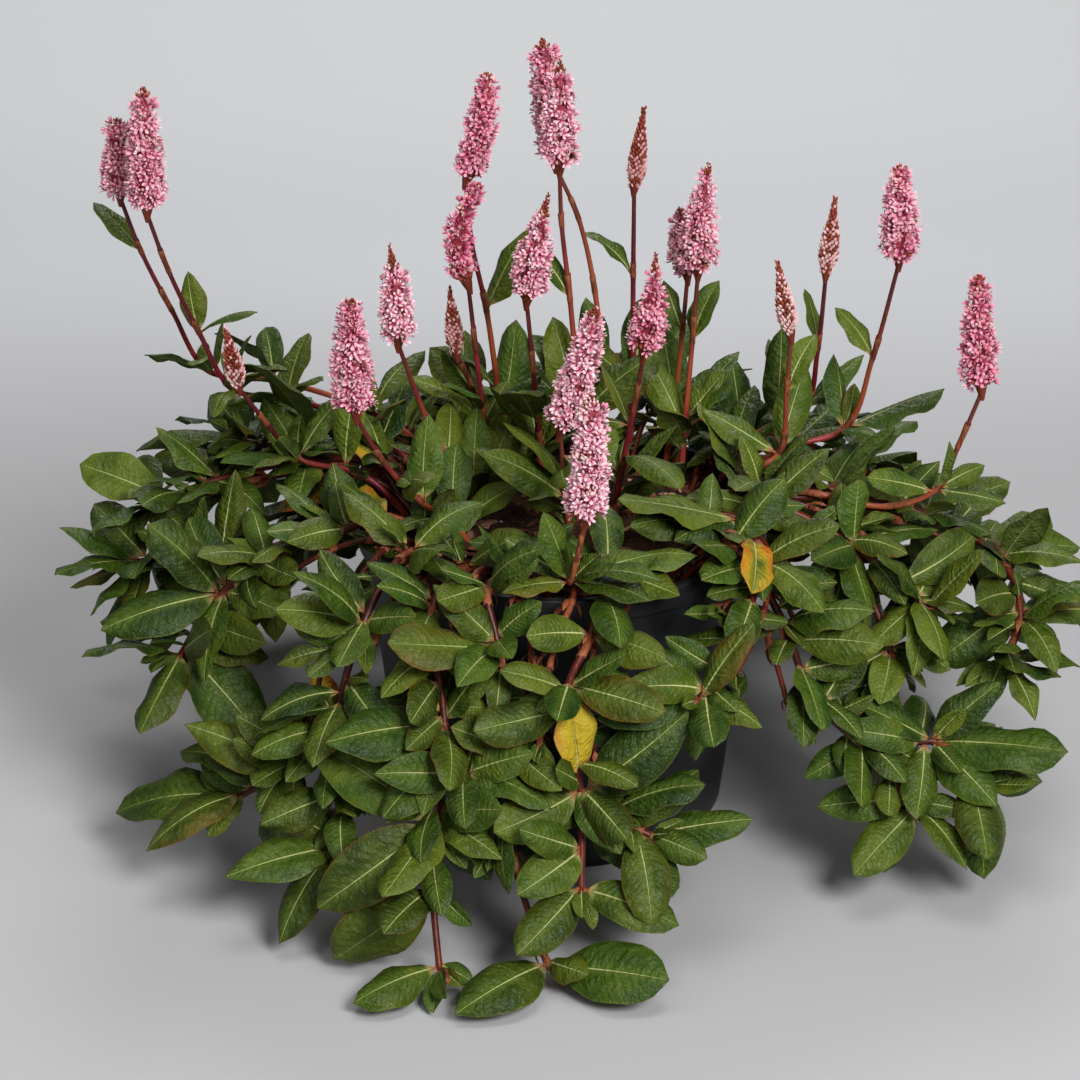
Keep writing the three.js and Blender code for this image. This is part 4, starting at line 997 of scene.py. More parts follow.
class Shoot:
    def __init__(self, name, layout, radius, leafy_tip):
        self.name = name
        self.layout = layout
        self.branches = [Branch(branch["path"], radius, leafy_tip) for branch in layout]
        self.leafy_tip = leafy_tip
        self.leaves = []
        self.chance = random.Random(name)
        self.bright = 0.0 if leafy_tip else FLOWER_BRIGHTNESS
        self.companions = []
        if leafy_tip:
            self.companions = [companion(self.branches[0], self.chance, side) for side in (-1, 1)]

    def stems(self):
        return self.branches + self.companions

    def grow(self, crowd, place, style, must_fit=False):
        fitted = fitted_leaf(crowd, place, style, must_fit)
        if fitted is not None:
            self.leaves.append((fitted, style))


def grow_listed_leaves(shoots, crowd):
    """The leaves that the lists name, in their order."""
    number = 0
    for shoot in shoots:
        for branch, layout in zip(shoot.branches, shoot.layout):
            for point, leaves in layout["tufts"].items():
                for order, (bearing, rise, length, *old) in enumerate(leaves):
                    roll = ROLL_SWING * math.sin(math.radians(number * GOLDEN_ANGLE))
                    base = branch.at(branch.nodes[point] - LEAF_GAP * order)
                    style = leaf_style(shoot.chance, sum(old), bright=shoot.bright)
                    shoot.grow(crowd, (base, bearing, rise, length, roll), style, True)
                    number += 1


def grow_young_tuft(shoot, crowd, branch, spot, tuft):
    """Small folded leaves that spread from one spot of a stem about the way it runs."""
    count, spread = tuft
    bearing, rise = bearing_and_rise(branch.direction(spot))
    for order in range(count):
        turn = math.radians(order * GOLDEN_ANGLE)
        steep = min(YOUNG_STEEPEST, rise + spread * abs(math.sin(turn)) + YOUNG_LIFT)
        length = shoot.chance.uniform(*YOUNG_SIZES)
        roll = shoot.chance.uniform(-YOUNG_ROLL, YOUNG_ROLL)
        place = (branch.at(spot), bearing + spread * math.cos(turn), steep, length, roll)
        shoot.grow(crowd, place, leaf_style(shoot.chance, young=True))


def grow_young_leaves(shoots, crowd):
    """Young leaves where a shoot is still growing: at its ends, and in the middle of its tufts."""
    for shoot in shoots:
        for branch, layout in zip(shoot.branches, shoot.layout):
            for point in layout["tufts"]:
                is_end = shoot.leafy_tip and point == len(layout["path"]) - 1
                tuft = TIP_TUFT if is_end else INNER_TUFT
                grow_young_tuft(shoot, crowd, branch, branch.nodes[point], tuft)
        for branch in shoot.companions:
            grow_young_tuft(shoot, crowd, branch, branch.length, TIP_TUFT)


def filling_place(branch, spot, side, chance, sizes, lifts, swings):
    """A leaf's place to one side of a stem: over the outside of the plant, with its tip lifted off it."""
    base = branch.at(spot)
    out = leaf_facing(base)
    aside = unit(np.cross(branch.direction(spot), out))
    ahead = np.cross(out, aside)
    swing = math.radians(side * chance.uniform(*swings))
    lift = math.radians(chance.uniform(*lifts))
    level = aside * math.sin(swing) + ahead * math.cos(swing)
    bearing, rise = bearing_and_rise(level * math.cos(lift) + out * math.sin(lift))
    return base, bearing, rise, chance.uniform(*sizes), chance.uniform(-FILL_ROLL, FILL_ROLL)


def grow_filling_leaves(shoots, crowd, spacing, *ranges):
    """Leaves along the stems between the tufts, wherever there is room for one."""
    for shoot in shoots:
        for branch in shoot.branches:
            spot = branch.leaves_the_compost()
            end = branch.length - 2 if shoot.leafy_tip else min(branch.length, spot + FLOWER_TUFT_REACH)
            side = 1
            while spot < end and branch.at(spot)[2] >= FILL_FLOOR:
                place = filling_place(branch, spot, side, shoot.chance, *ranges)
                is_old = shoot.leafy_tip and shoot.chance.random() < OLD_SHARE
                age = shoot.chance.uniform(*OLD_AGES) if is_old else 0.0
                shoot.grow(crowd, place, leaf_style(shoot.chance, age, bright=shoot.bright))
                reach = math.hypot(*branch.at(spot)[:2])
                spread = 1 + OPEN_MIDDLE * (1 - float(eased(reach, *OPEN_BAND)))
                spot += spacing * spread * shoot.chance.uniform(*FILL_STEPS)
                side = -side


def add_stem(surface, branch, chance, tone):
    """A stem with swollen nodes. stem_place holds the share along it, its height in decimetres, and where
    it is papery. stem_kind holds its tone and whether it creeps."""
    radii = branch.thickness(branch.distances)
    if branch.leafy_tip:
        radii = radii * np.sqrt(np.clip((branch.length + 0.4 - branch.distances) / TIP_ROUND, 0.02, 1))
    rings = round_rings(branch.points, radii, STEM_SIDES)
    share = np.repeat(branch.distances / branch.length, STEM_SIDES)
    height = np.repeat(branch.points[:, 2] / 100, STEM_SIDES)
    surface.add(rings, shell_faces(len(rings), STEM_SIDES), stem_place=rows_of(share, height, 0),
                stem_kind=[tone, float(branch.leafy_tip), 0])
    for node in branch.nodes[1:]:
        if branch.at(node)[2] > COMPOST_TOP + SHEATHS_ABOVE or not inside_pot(branch.at(node)):
            add_sheath(surface, branch, node, chance)
            if branch.leafy_tip:
                add_scales(surface, branch, node, chance)


def inside_pot(point):
    return math.hypot(point[0], point[1]) < RIM_RADIUS and point[2] < POT_HEIGHT


def add_sheath(surface, branch, node, chance):
    """The papery tube that wraps a stem above a node, torn at its upper end."""
    reach = min(chance.uniform(*SHEATH_LENGTHS), branch.length - node - 0.5)
    if reach < SHEATH_SHORTEST:
        return
    distances = node - SHEATH_OVERLAP + np.linspace(0, reach, SHEATH_ROWS)
    line = np.array([branch.at(distance) for distance in distances])
    opening = np.linspace(0, 1, SHEATH_ROWS) ** SHEATH_POWER
    radii = branch.thickness(distances) + SHEATH_GAP + chance.uniform(*SHEATH_FLARE) * opening
    tears = np.array([chance.uniform(-1, 1) for _ in range(STEM_SIDES)])
    outer = round_rings(line, radii, STEM_SIDES)
    inner = round_rings(line, radii - SHEATH_THICKNESS, STEM_SIDES)
    tangents, _, _ = frames_along(line)
    shift = tangents[:, None, :] * (opening[:, None] * tears[None, :] * TEAR_DEPTH)[..., None]
    rings = np.concatenate([outer + shift, (inner + shift)[::-1]])
    ragged = np.repeat(np.concatenate([opening, opening[::-1]]), STEM_SIDES)
    surface.add(rings, shell_faces(len(rings), STEM_SIDES, closed=True), stem_place=rows_of(ragged, 0, 1),
                stem_kind=[chance.uniform(-1, 1), float(branch.leafy_tip), 0])


def add_scales(surface, branch, node, chance):
    """Small brown scales that stand out from the stem at a node."""
    along = branch.direction(node)
    _, sides, ups = frames_along(np.array([branch.at(node) + along * step for step in (-1, 0, 1)]))
    for order in range(SCALES):
        turn = math.radians(order * GOLDEN_ANGLE + chance.uniform(-SCALE_SWING, SCALE_SWING))
        outward = sides[1] * math.cos(turn) + ups[1] * math.sin(turn)
        flare = math.radians(chance.uniform(*SCALE_FLARE))
        ahead = along * math.cos(flare) + outward * math.sin(flare)
        face = outward * math.cos(flare) - along * math.sin(flare)
        length = chance.uniform(*SCALE_LENGTHS)
        width = chance.uniform(*SCALE_WIDTHS)
        points, faces = spindle(np.array(SCALE_SPINE) * length, [width, width * 0.8], [0.14, 0.12], 4)
        placed = points @ np.array([np.cross(face, ahead), face, ahead])
        placed += branch.at(node) + outward * branch.radius * 0.7
        if placed[:, 2].min() > GAP:
            ragged = np.clip(points[:, 2] / length, 0, 1)
            surface.add(placed, faces, stem_place=rows_of(ragged, 0, 1),
                        stem_kind=[chance.uniform(-1, 1), 1, 0])


# Flowers. A shape is its points, its faces, and what floret_place holds for each point: the share along its
# tepal, bud or bract, how open the floret is, and which part it belongs to.

def floret(openness):
    """A five-tepalled floret that opens along +Z from the origin."""
    lower = math.radians(18 + 26 * openness)
    upper = math.radians(-10 + 84 * openness)
    half = TEPAL_LENGTH / 2
    middle = np.array([0.3 + half * math.sin(lower), half * math.cos(lower)])
    tip = middle + half * np.array([math.sin(upper), math.cos(upper)])
    line = [[0.25, 0], middle, middle * 0.4 + tip * 0.6, tip]
    tepal, faces = spindle([[x, 0, z] for x, z in line], [0.72, 0.64], [0.1, 0.1], 3)
    shares = [0] + [0.5] * 3 + [0.78] * 3 + [1]
    gathered = Surface()
    for number in range(TEPALS):
        turn = 360 / TEPALS * number
        gathered.add(about_z(tepal, turn), faces, floret_place=rows_of(shares, openness, TEPAL))
    ovary, ovary_faces = spindle([[0, 0, 0.1], [0, 0, 0.9], [0, 0, 1.5]], [0.42], [0.42], 3)
    gathered.add(ovary, ovary_faces, floret_place=[0.5, openness, MIDDLE])
    if openness > ANTHER_OPENNESS:
        anther, anther_faces = spindle([[0.3, 0, 1.2], [0.8, 0, 2.9], [0.9, 0, 3.3]], [0.16], [0.16], 3)
        for number in range(ANTHERS):
            turn = 360 / ANTHERS * number + 20
            gathered.add(about_z(anther, turn), anther_faces, floret_place=[0.5, openness, ANTHER])
    groups = [np.concatenate(group) for group in gathered.faces.values()]
    return np.concatenate(gathered.points), groups, np.concatenate(gathered.values["floret_place"])


def closed_bud(part):
    """A closed bud or bract that points along +Z, one unit long."""
    spine = [[0, 0, 0], [0, 0, 0.32], [0.04, 0, 0.68], [0, 0, 1]]
    points, faces = spindle(spine, [0.3, 0.25], [0.27, 0.22], 4)
    return points, faces, rows_of([0] + [0.3] * 4 + [0.7] * 4 + [1], 0, part)


FLORETS = [floret(openness) for openness in OPENNESSES]
BUD = closed_bud(BUD_PART)
BRACT = closed_bud(BRACT_PART)


class Spike:
    """The middle line of a flower spike, and its radius along it."""

    def __init__(self, flower, looks):
        self.form, self.paleness, self.budding, self.radius, bow, self.taper = looks
        self.is_bud = self.form == "bud"
        self.top = 0.0 if self.is_bud else 1 - self.budding
        foot = np.array(flower["route"][-1], float)
        tip = np.array(flower["tip"], float)
        self.length = float(np.linalg.norm(tip - foot))
        self.shares = np.linspace(0, 1, SPIKE_ROWS)
        lean = np.array([1.0, 0.0, 0.0]) * bow
        straight = foot + (tip - foot) * self.shares[:, None]
        self.line = straight + np.sin(self.shares * math.pi)[:, None] * lean
        self.tangents, self.sides, self.ups = frames_along(self.line)

    def wide(self, share):
        """Radius at a share of the length: an even body, and a slender cone of buds above it."""
        share = np.asarray(share, float)
        if self.is_bud:
            return self.radius * (0.6 + 0.4 * eased(share, 0, 0.2)) * (1 - 0.62 * eased(share, 0.3, 1.0))
        foot = self.radius * (0.36 + 0.64 * eased(share, 0, 0.14))
        body = foot * (1 - self.taper * eased(share, 0.35, self.top))
        cone = BUD_CONE_RADIUS * (1 - 0.5 * eased(share, self.top, 1))
        return body + (cone - body) * eased(share, self.top - CONE_STEP, self.top + CONE_STEP)

    def spread(self, spacing, start, end):
        """Shares of the length at which things sit so that they cover a stretch of the spike evenly."""
        fine = np.linspace(start, end, 400)
        ring = 2 * math.pi * np.maximum(self.wide(fine) - 1.0, 0.6)
        covered = np.concatenate([[0], np.cumsum((ring[1:] + ring[:-1]) / 2 * np.diff(fine) * self.length)])
        count = int(covered[-1] / (spacing ** 2 * PACKING))
        return np.interp((np.arange(count) + 0.5) / count * covered[-1], covered, fine)


def tilt_at(share, tilt):
    foot, gain = tilt
    return foot + gain * share


class Dressing:
    """The florets, buds and bracts of a spike, as copies of a few shapes."""

    def __init__(self, spike, chance):
        self.spike = spike
        self.chance = chance
        self.copies = {}

    def lay(self, shape, share, turn, tilt, size, sink, wander):
        """Sets one shape on the spike: tilt degrees up from straight outward, sunk below the outline."""
        spike = self.spike
        chance = self.chance
        tangent, side, up = (between(share, spike.shares, rows)
                             for rows in (spike.tangents, spike.sides, spike.ups))
        tangent = unit(tangent)
        outward = unit(side * math.cos(turn) + up * math.sin(turn))
        axis = outward * math.cos(math.radians(tilt)) + tangent * math.sin(math.radians(tilt))
        axis = unit(axis + np.array([chance.gauss(0, wander) for _ in range(3)]))
        across = turned(unit(np.cross(axis, tangent + 0.01)), axis, chance.uniform(0, 360))
        depth = outward * max(float(spike.wide(share)) - sink, 0.3)
        _, places, turns, kinds = self.copies.setdefault(id(shape), (shape, [], [], []))
        places.append(between(share, spike.shares, spike.line) + depth)
        turns.append(np.stack([across, np.cross(axis, across), axis], axis=-1) * size)
        kinds.append([chance.gauss(0, 0.4), spike.paleness, share])

    def lay_calyx(self, share, degrees):
        """What a dropped floret leaves behind: a few short bracts or buds, deep in the spike."""
        chance = self.chance
        shape = BRACT if share < 0.12 else BUD
        for _ in range(CALYX_PARTS):
            turn = math.radians(degrees + chance.uniform(-CALYX_SWING, CALYX_SWING))
            size = chance.uniform(*CALYX_SIZES)
            near = float(np.clip(share + chance.uniform(-0.02, 0.02), 0, LAST_SHARE))
            tilt = chance.uniform(*CALYX_TILTS)
            self.lay(shape, near, turn, tilt, size, FLORET_DEPTH + chance.uniform(*CALYX_SINK), 0.2)

    def lay_florets(self):
        """Florets in every state of opening, with gaps where some have dropped."""
        spike = self.spike
        chance = self.chance
        start = chance.uniform(*FLORET_STARTS)
        for number, share in enumerate(spike.spread(FLORET_SPACING, start, spike.top + 0.01)):
            low = 1 - float(eased(share, *FALLEN_BAND))
            if chance.random() < FALLEN_SHARE[spike.form] + FALLEN_AT_FOOT * low:
                self.lay_calyx(share, number * GOLDEN_ANGLE)
                continue
            share = float(np.clip(share + chance.uniform(-0.008, 0.008), 0, LAST_SHARE))
            swing = chance.uniform(-FLORET_SWING, FLORET_SWING)
            turn = math.radians(number * GOLDEN_ANGLE + swing)
            is_closing = share > spike.top - 0.1 or spike.form == "old"
            shape = FLORETS[chance.choice(CLOSED_CHOICES if is_closing else OPEN_CHOICES)]
            size = chance.uniform(*FLORET_SIZES)
            tilt = tilt_at(share, FLORET_TILT) + chance.gauss(0, TILT_SPREAD)
            sink = FLORET_DEPTH * size + chance.uniform(*FLORET_SINK)
            self.lay(shape, share, turn, tilt, size, sink, FLORET_WANDER)

    def lay_bud(self, share, turn, rosy, size):
        shape = BUD if rosy else BRACT
        self.lay(shape, share, turn, tilt_at(share, BUD_TILT), size, size * 0.66, 0.06)

    def lay_bud_spike(self):
        """Closed buds among bracts, all the way up."""
        pale = self.spike.paleness
        for number, share in enumerate(self.spike.spread(BUD_SPACING, 0.0, LAST_SHARE)):
            turn = math.radians(number * GOLDEN_ANGLE)
            rosy = self.chance.random() < pale * (1.2 - share) + 0.34 * (1.3 - share)
            size = float(3.9 - 1.5 * share)
            tilt = tilt_at(share, COVER_TILT)
            self.lay(BRACT, max(share - 0.02, 0), turn, tilt, size * 0.8, size * 0.72, 0.04)
            self.lay_bud(share, turn, rosy, size)

    def lay_cone(self):
        """The cone of buds at the tip of a spike in flower."""
        for number, share in enumerate(self.spike.spread(CONE_SPACING, self.spike.top, LAST_SHARE)):
            turn = math.radians(number * GOLDEN_ANGLE)
            rosy = self.chance.random() < 0.25
            size = float(2.5 - 1.0 * eased(share, self.spike.top, 1))
            self.lay_bud(share, turn, rosy, size)

    def lay_foot(self):
        for number in range(FOOT_BRACTS):
            share = FOOT_SHARE * number / FOOT_BRACTS
            turn = math.radians(number * GOLDEN_ANGLE)
            self.lay(BRACT, share, turn, FOOT_TILT, self.chance.uniform(*FOOT_SIZES), FOOT_SINK, 0.1)


def spike_surface(spike, chance):
    """A spike: its core and foot, and all that it carries."""
    surface = Surface()
    wide = spike.wide(spike.shares)
    radii = np.maximum(np.minimum(wide - (BUD_DEPTH if spike.is_bud else FLORET_DEPTH), 0.5 * wide), 0.45)
    core = round_rings(spike.line, radii * (1 - 0.7 * eased(spike.shares, 0.92, 1)), CORE_SIDES)
    look = [0, spike.paleness, 0]
    surface.add(core, shell_faces(len(core), CORE_SIDES), floret_place=[0, 0, CORE], floret_kind=look)
    dressing = Dressing(spike, chance)
    if spike.is_bud:
        dressing.lay_bud_spike()
    else:
        dressing.lay_florets()
        dressing.lay_cone()
    along = np.linspace(-FOOT_DROP, FOOT_RISE, len(FOOT_RADII))[:, None]
    foot = round_rings(spike.line[0] + along * spike.tangents[0], FOOT_RADII, CORE_SIDES)
    surface.add(foot, shell_faces(len(foot), CORE_SIDES), floret_place=[0.3, 0, BRACT_PART],
                floret_kind=look)
    dressing.lay_foot()
    for (points, faces, where), places, turns, kinds in dressing.copies.values():
        surface.add_copies(points, faces, places, np.array(turns), floret_place=where[None],
                           floret_kind=np.array(kinds)[:, None, :])
    return surface


# Pot and compost

def wall_radius(height):
    share = (height - FOOT_HEIGHT) / (POT_HEIGHT - FOOT_HEIGHT)
    return WALL_FOOT_RADIUS + share * (RIM_RADIUS - RIM_STEP - WALL_FOOT_RADIUS)


def rounded(reach, height, radius, start, end):
    """Points on a round corner about a centre, from one angle to another."""
    angles = [math.radians(angle) for angle in np.linspace(start, end, CORNER_POINTS)]
    return [[reach + radius * math.cos(angle), height + radius * math.sin(angle)] for angle in angles]


def pot_profile():
    """The pot's outline from the middle of its underside, up its outside and down its inside."""
    rim_bottom = POT_HEIGHT - RIM_DEPTH
    inner_foot = FOOT_HEIGHT + WALL
    lip = wall_radius(POT_HEIGHT) - WALL
    rising = np.linspace(FOOT_HEIGHT + 1, rim_bottom - 0.8, 12)[1:]
    falling = np.linspace(POT_HEIGHT - 1, inner_foot + 1, 10)[1:]
    return [
        *rounded(FOOT_RADIUS - FOOT_ROUND, FOOT_ROUND, FOOT_ROUND, -90, 0),
        [FOOT_RADIUS, FOOT_HEIGHT - 0.4],
        *rounded(WALL_FOOT_RADIUS - SHOULDER_ROUND, FOOT_HEIGHT + SHOULDER_ROUND, SHOULDER_ROUND, -90, -10),
        *[[wall_radius(height), height] for height in rising],
        *rounded(RIM_RADIUS - RIM_LOW_ROUND, rim_bottom + RIM_LOW_ROUND, RIM_LOW_ROUND, -90, 0),
        [RIM_RADIUS - 0.2, POT_HEIGHT - 5],
        *rounded(RIM_RADIUS - RIM_TOP_ROUND, POT_HEIGHT - RIM_TOP_ROUND, RIM_TOP_ROUND, 0, 90),
        *rounded(lip + LIP_ROUND, POT_HEIGHT - LIP_ROUND, LIP_ROUND, 90, 170),
        *[[wall_radius(height) - WALL, height] for height in falling],
        [FOOT_RADIUS - WALL, inner_foot],
        [FOOT_RADIUS - WALL, WALL],
    ]


def lathed(profile, start, end, around):
    """A closed body turned about the Z axis, from a start on the axis to an end on it."""
    angles = -np.arange(around) * 2 * math.pi / around
    rings = [[[radius * math.cos(angle), radius * math.sin(angle), height] for angle in angles]
             for radius, height in profile]
    points = np.concatenate([[[0, 0, start]], np.array(rings).reshape(-1, 3), [[0, 0, end]]])
    return points, spindle_faces(len(profile), around)


def drain_cutter():
    """Boxes that cut the drain slots through the foot of the pot."""
    cutter = Surface()
    box = np.array([[x, y, z] for x in (-1, 1) for y in (-1, 1) for z in (WALL, FOOT_HEIGHT)], float)
    box[:, 0] = FOOT_RADIUS + box[:, 0] * DRAIN_REACH / 2
    box[:, 1] *= DRAIN_WIDTH / 2
    quads = np.array([[0, 1, 3, 2], [4, 6, 7, 5], [0, 4, 5, 1], [2, 3, 7, 6], [0, 2, 6, 4], [1, 5, 7, 3]])
    for drain in range(DRAIN_COUNT):
        cutter.add(about_z(box, (drain + 0.5) * 360 / DRAIN_COUNT), [quads])
    return cutter.made("drain_cutter")


def make_pot():
    surface = Surface()
    surface.add(*lathed(pot_profile(), 0, WALL, POT_SIDES))
    pot = add_piece("pot_shell", surface, pot_material(), "pot_plastic", "nursery_pot")
    cutter = drain_cutter()
    cut = pot.modifiers.new("drains", "BOOLEAN")
    cut.operation = "DIFFERENCE"
    cut.solver = "EXACT"
    cut.object = cutter
    graph = bpy.context.evaluated_depsgraph_get()
    drained = bpy.data.meshes.new_from_object(pot.evaluated_get(graph))
    pot.modifiers.clear()
    pot.data = drained
    shade(drained, POT_SHARP_ANGLE)
    bpy.data.objects.remove(cutter)


def compost_height(x, y):
    """Height of the compost's crumbly top."""
    length, rise = COMPOST_SWELLS
    crumb, roughness = COMPOST_CRUMBS
    swell = noise.fractal(Vector((x / length, y / length, 3.1)), 0.9, 2.1, 3)
    crumbs = noise.fractal(Vector((x / crumb, y / crumb, 8.4)), 0.8, 2.0, 3)
    edge = math.hypot(x, y) / RIM_RADIUS
    return COMPOST_TOP + COMPOST_CROWN * (1 - edge) + rise * swell + roughness * abs(crumbs)


def make_compost():
    inset = WALL + GAP
    foot = FOOT_HEIGHT + inset
    outer = wall_radius(COMPOST_TOP) - inset
    sides = [[FOOT_RADIUS - inset, inset], [FOOT_RADIUS - inset, foot], [wall_radius(foot) - inset, foot],
             [outer, COMPOST_TOP - 3]]
    top = [[outer * ring / COMPOST_RINGS, COMPOST_TOP] for ring in range(COMPOST_RINGS, 0, -1)]
    points, faces = lathed(sides + top, inset, COMPOST_TOP, COMPOST_SECTORS)
    for point in points[1 + len(sides) * COMPOST_SECTORS:]:
        point[2] = compost_height(point[0], point[1])
    surface = Surface()
    surface.add(points, faces)
    add_piece("compost_bed", surface, compost_material(), "compost", "potting_compost")


def lump(size, chance):
    """A rough chip, long in X, wide in Y and thick in Z."""
    spine = [[x, 0, 0] for x in np.linspace(-1, 1, LUMP_ROWS + 2)]
    widths = [math.sqrt(1 - point[0] ** 2) * chance.uniform(*LUMP_WIDTHS) for point in spine[1:-1]]
    points, faces = spindle(spine, widths, widths, LUMP_SIDES)
    jitter = np.array([[chance.uniform(-LUMP_JITTER, LUMP_JITTER) for _ in range(3)] for _ in points])
    return (points + jitter) * np.array(size) / 2, faces


def litter_spots(chance, count, reach):
    for _ in range(count):
        radius = reach * math.sqrt(chance.random())
        turn = chance.uniform(0, 2 * math.pi)
        yield radius * math.cos(turn), radius * math.sin(turn)


def make_litter():
    """Bark chips and grit on the compost. litter_kind holds a tone and whether it is white grit."""
    chance = random.Random("litter")
    surface = Surface()
    for x, y in litter_spots(chance, BARK_CHIPS, CHIP_REACH):
        size = [chance.uniform(*ends) for ends in CHIP_SIZES]
        points, faces = lump(size, chance)
        tilt = math.radians(chance.uniform(-CHIP_TILT, CHIP_TILT))
        points = points @ np.array([[math.cos(tilt), 0, math.sin(tilt)], [0, 1, 0],
                                    [-math.sin(tilt), 0, math.cos(tilt)]])
        height = compost_height(x, y) + size[2] * CHIP_LIFT
        points = about_z(points, chance.uniform(0, 360)) + [x, y, height]
        surface.add(points, faces, litter_kind=[chance.uniform(0, 1), 0, 0])
    for x, y in litter_spots(chance, GRIT_GRAINS, GRIT_REACH):
        size = [chance.uniform(*ends) for ends in GRIT_SIZES]
        points, faces = lump(size, chance)
        points = points + [x, y, compost_height(x, y) + size[2] * GRIT_LIFT]
        tone = chance.uniform(0, 1)
        surface.add(points, faces, litter_kind=[tone, float(chance.random() < WHITE_GRIT), 0])
    add_piece("compost_litter", surface, litter_material(), "compost")


# Materials

class Value:
    """A number in a shader, which adds, subtracts and multiplies like a plain one."""

    def __init__(self, nodes, socket):
        self.nodes = nodes
        self.socket = socket

    def __add__(self, other):
        return self.nodes.math("ADD", self, other)

    def __sub__(self, other):
        return self.nodes.math("SUBTRACT", self, other)

    def __rsub__(self, other):
        return self.nodes.math("SUBTRACT", other, self)

    def __mul__(self, other):
        return self.nodes.math("MULTIPLY", self, other)


class Nodes:
    """A material's nodes, with a short call for each kind that is used here. Colours are given as seen on
    screen, 0 to 255."""

    def __init__(self, name, roughness=0.5, specular=0.5):
        self.material = bpy.data.materials.new(name)
        self.material.use_nodes = True
        self.tree = self.material.node_tree
        self.shader = self.tree.nodes["Principled BSDF"]
        self.shader.inputs["Roughness"].default_value = roughness
        self.shader.inputs["Specular IOR Level"].default_value = specular

    def feed(self, socket, value):
        if isinstance(value, Value):
            value = value.socket
        if isinstance(value, bpy.types.NodeSocket):
            self.tree.links.new(value, socket)
        elif socket.type == "RGBA":
            socket.default_value = (*linear(value), 1)
        else:
            socket.default_value = value

    def node(self, kind, inputs=None, **settings):
        made = self.tree.nodes.new(kind)
        for name, value in settings.items():
            setattr(made, name, value)
        for name, value in (inputs or {}).items():
            self.feed(made.inputs[name], value)
        return made

    def math(self, operation, first, second=0.0, clamp=False):
        made = self.node("ShaderNodeMath", operation=operation, use_clamp=clamp)
        for socket, value in zip(made.inputs, (first, second)):
            self.feed(socket, value)
        return Value(self, made.outputs[0])

    def clamped(self, value):
        """A value kept between 0 and 1."""
        return self.math("ADD", value, clamp=True)

    def size(self, value):
        return self.math("ABSOLUTE", value)

    def larger(self, first, second):
        return self.math("MAXIMUM", first, second)

    def band(self, value, start, end):
        """0 below start and 1 above end, with a smooth rise between."""
        made = self.node("ShaderNodeMapRange", {"Value": value, "From Min": start, "From Max": end},
                         interpolation_type="SMOOTHSTEP")
        return Value(self, made.outputs["Result"])

    def mix(self, share, first, second):
        """A colour that is the first at share 0 and the second at share 1."""
        made = self.node("ShaderNodeMix", {"Factor": share, "A": first, "B": second}, data_type="RGBA")
        return next(socket for socket in made.outputs if socket.type == "RGBA")

    def place(self):
        return self.node("ShaderNodeTexCoord").outputs["Object"]

    def noise(self, scale, detail=2.0, roughness=0.5, where=None, distortion=0.0):
        made = self.node("ShaderNodeTexNoise", {
            "Vector": self.place() if where is None else where, "Scale": scale, "Detail": detail,
            "Roughness": roughness, "Distortion": distortion})
        return Value(self, made.outputs["Fac"])

    def cells(self, scale, feature="DISTANCE_TO_EDGE"):
        made = self.node("ShaderNodeTexVoronoi", feature=feature)
        self.feed(made.inputs["Vector"], self.place())
        self.feed(made.inputs["Scale"], scale)
        return Value(self, made.outputs["Distance"])

    def parts(self, vector):
        made = self.node("ShaderNodeSeparateXYZ", {"Vector": vector})
        return [Value(self, socket) for socket in made.outputs]

    def values(self, name):
        """The three numbers that each point of the mesh holds under a name."""
        return self.parts(self.node("ShaderNodeAttribute", attribute_name=name).outputs["Vector"])

    def stretched(self, scale):
        return self.node("ShaderNodeMapping", {"Vector": self.place(), "Scale": scale}).outputs["Vector"]

    def bump(self, height, distance, strength):
        made = self.node("ShaderNodeBump", {"Height": height, "Distance": distance, "Strength": strength})
        self.feed(self.shader.inputs["Normal"], made.outputs["Normal"])

    def finish(self, colour, roughness=None):
        self.feed(self.shader.inputs["Base Color"], colour)
        if roughness is not None:
            self.feed(self.shader.inputs["Roughness"], roughness)
        return self.material


def linear(seen):
    """A colour as seen on screen, 0 to 255, in the linear values that shaders take."""
    return tuple(((value / 255 + 0.055) / 1.055) ** 2.4 if value > 10 else value / 3294.6 for value in seen)


def pot_material():
    """Black nursery plastic: faint grain, and a trace of dust low on the wall."""
    nodes = Nodes("pot_plastic", specular=0.25)
    grain = nodes.noise(900, detail=3)
    cloud = nodes.noise(28, detail=4)
    _, _, height = nodes.parts(nodes.place())
    low = 1 - nodes.band(height, 0.0, 0.05)
    dust = nodes.band(cloud, 0.45, 0.75) * (low * 0.25 + 0.06)
    black = nodes.mix(cloud, (15, 16, 18), (24, 25, 28))
    nodes.bump(grain + cloud * 2.0, 0.00008, 0.5)
    return nodes.finish(nodes.mix(dust, black, (84, 80, 76)), cloud * 0.25 + 0.34)


def compost_material():
    """Dark peat: crumbs, fibres and damp patches."""
    nodes = Nodes("compost_peat", roughness=0.95, specular=0.2)
    crumbs = nodes.cells(420, feature="F1")
    broad = nodes.noise(60, detail=5, roughness=0.65)
    fibres = nodes.noise(1.0, detail=4, where=nodes.stretched((1500, 260, 900)), distortion=1.5)
    dark = nodes.mix(nodes.band(broad, 0.35, 0.7), (32, 21, 16), (84, 54, 38))
    nodes.bump(broad - crumbs + fibres * 0.6, 0.0012, 0.9)
    return nodes.finish(nodes.mix(nodes.band(fibres, 0.58, 0.74), dark, (150, 106, 76)))


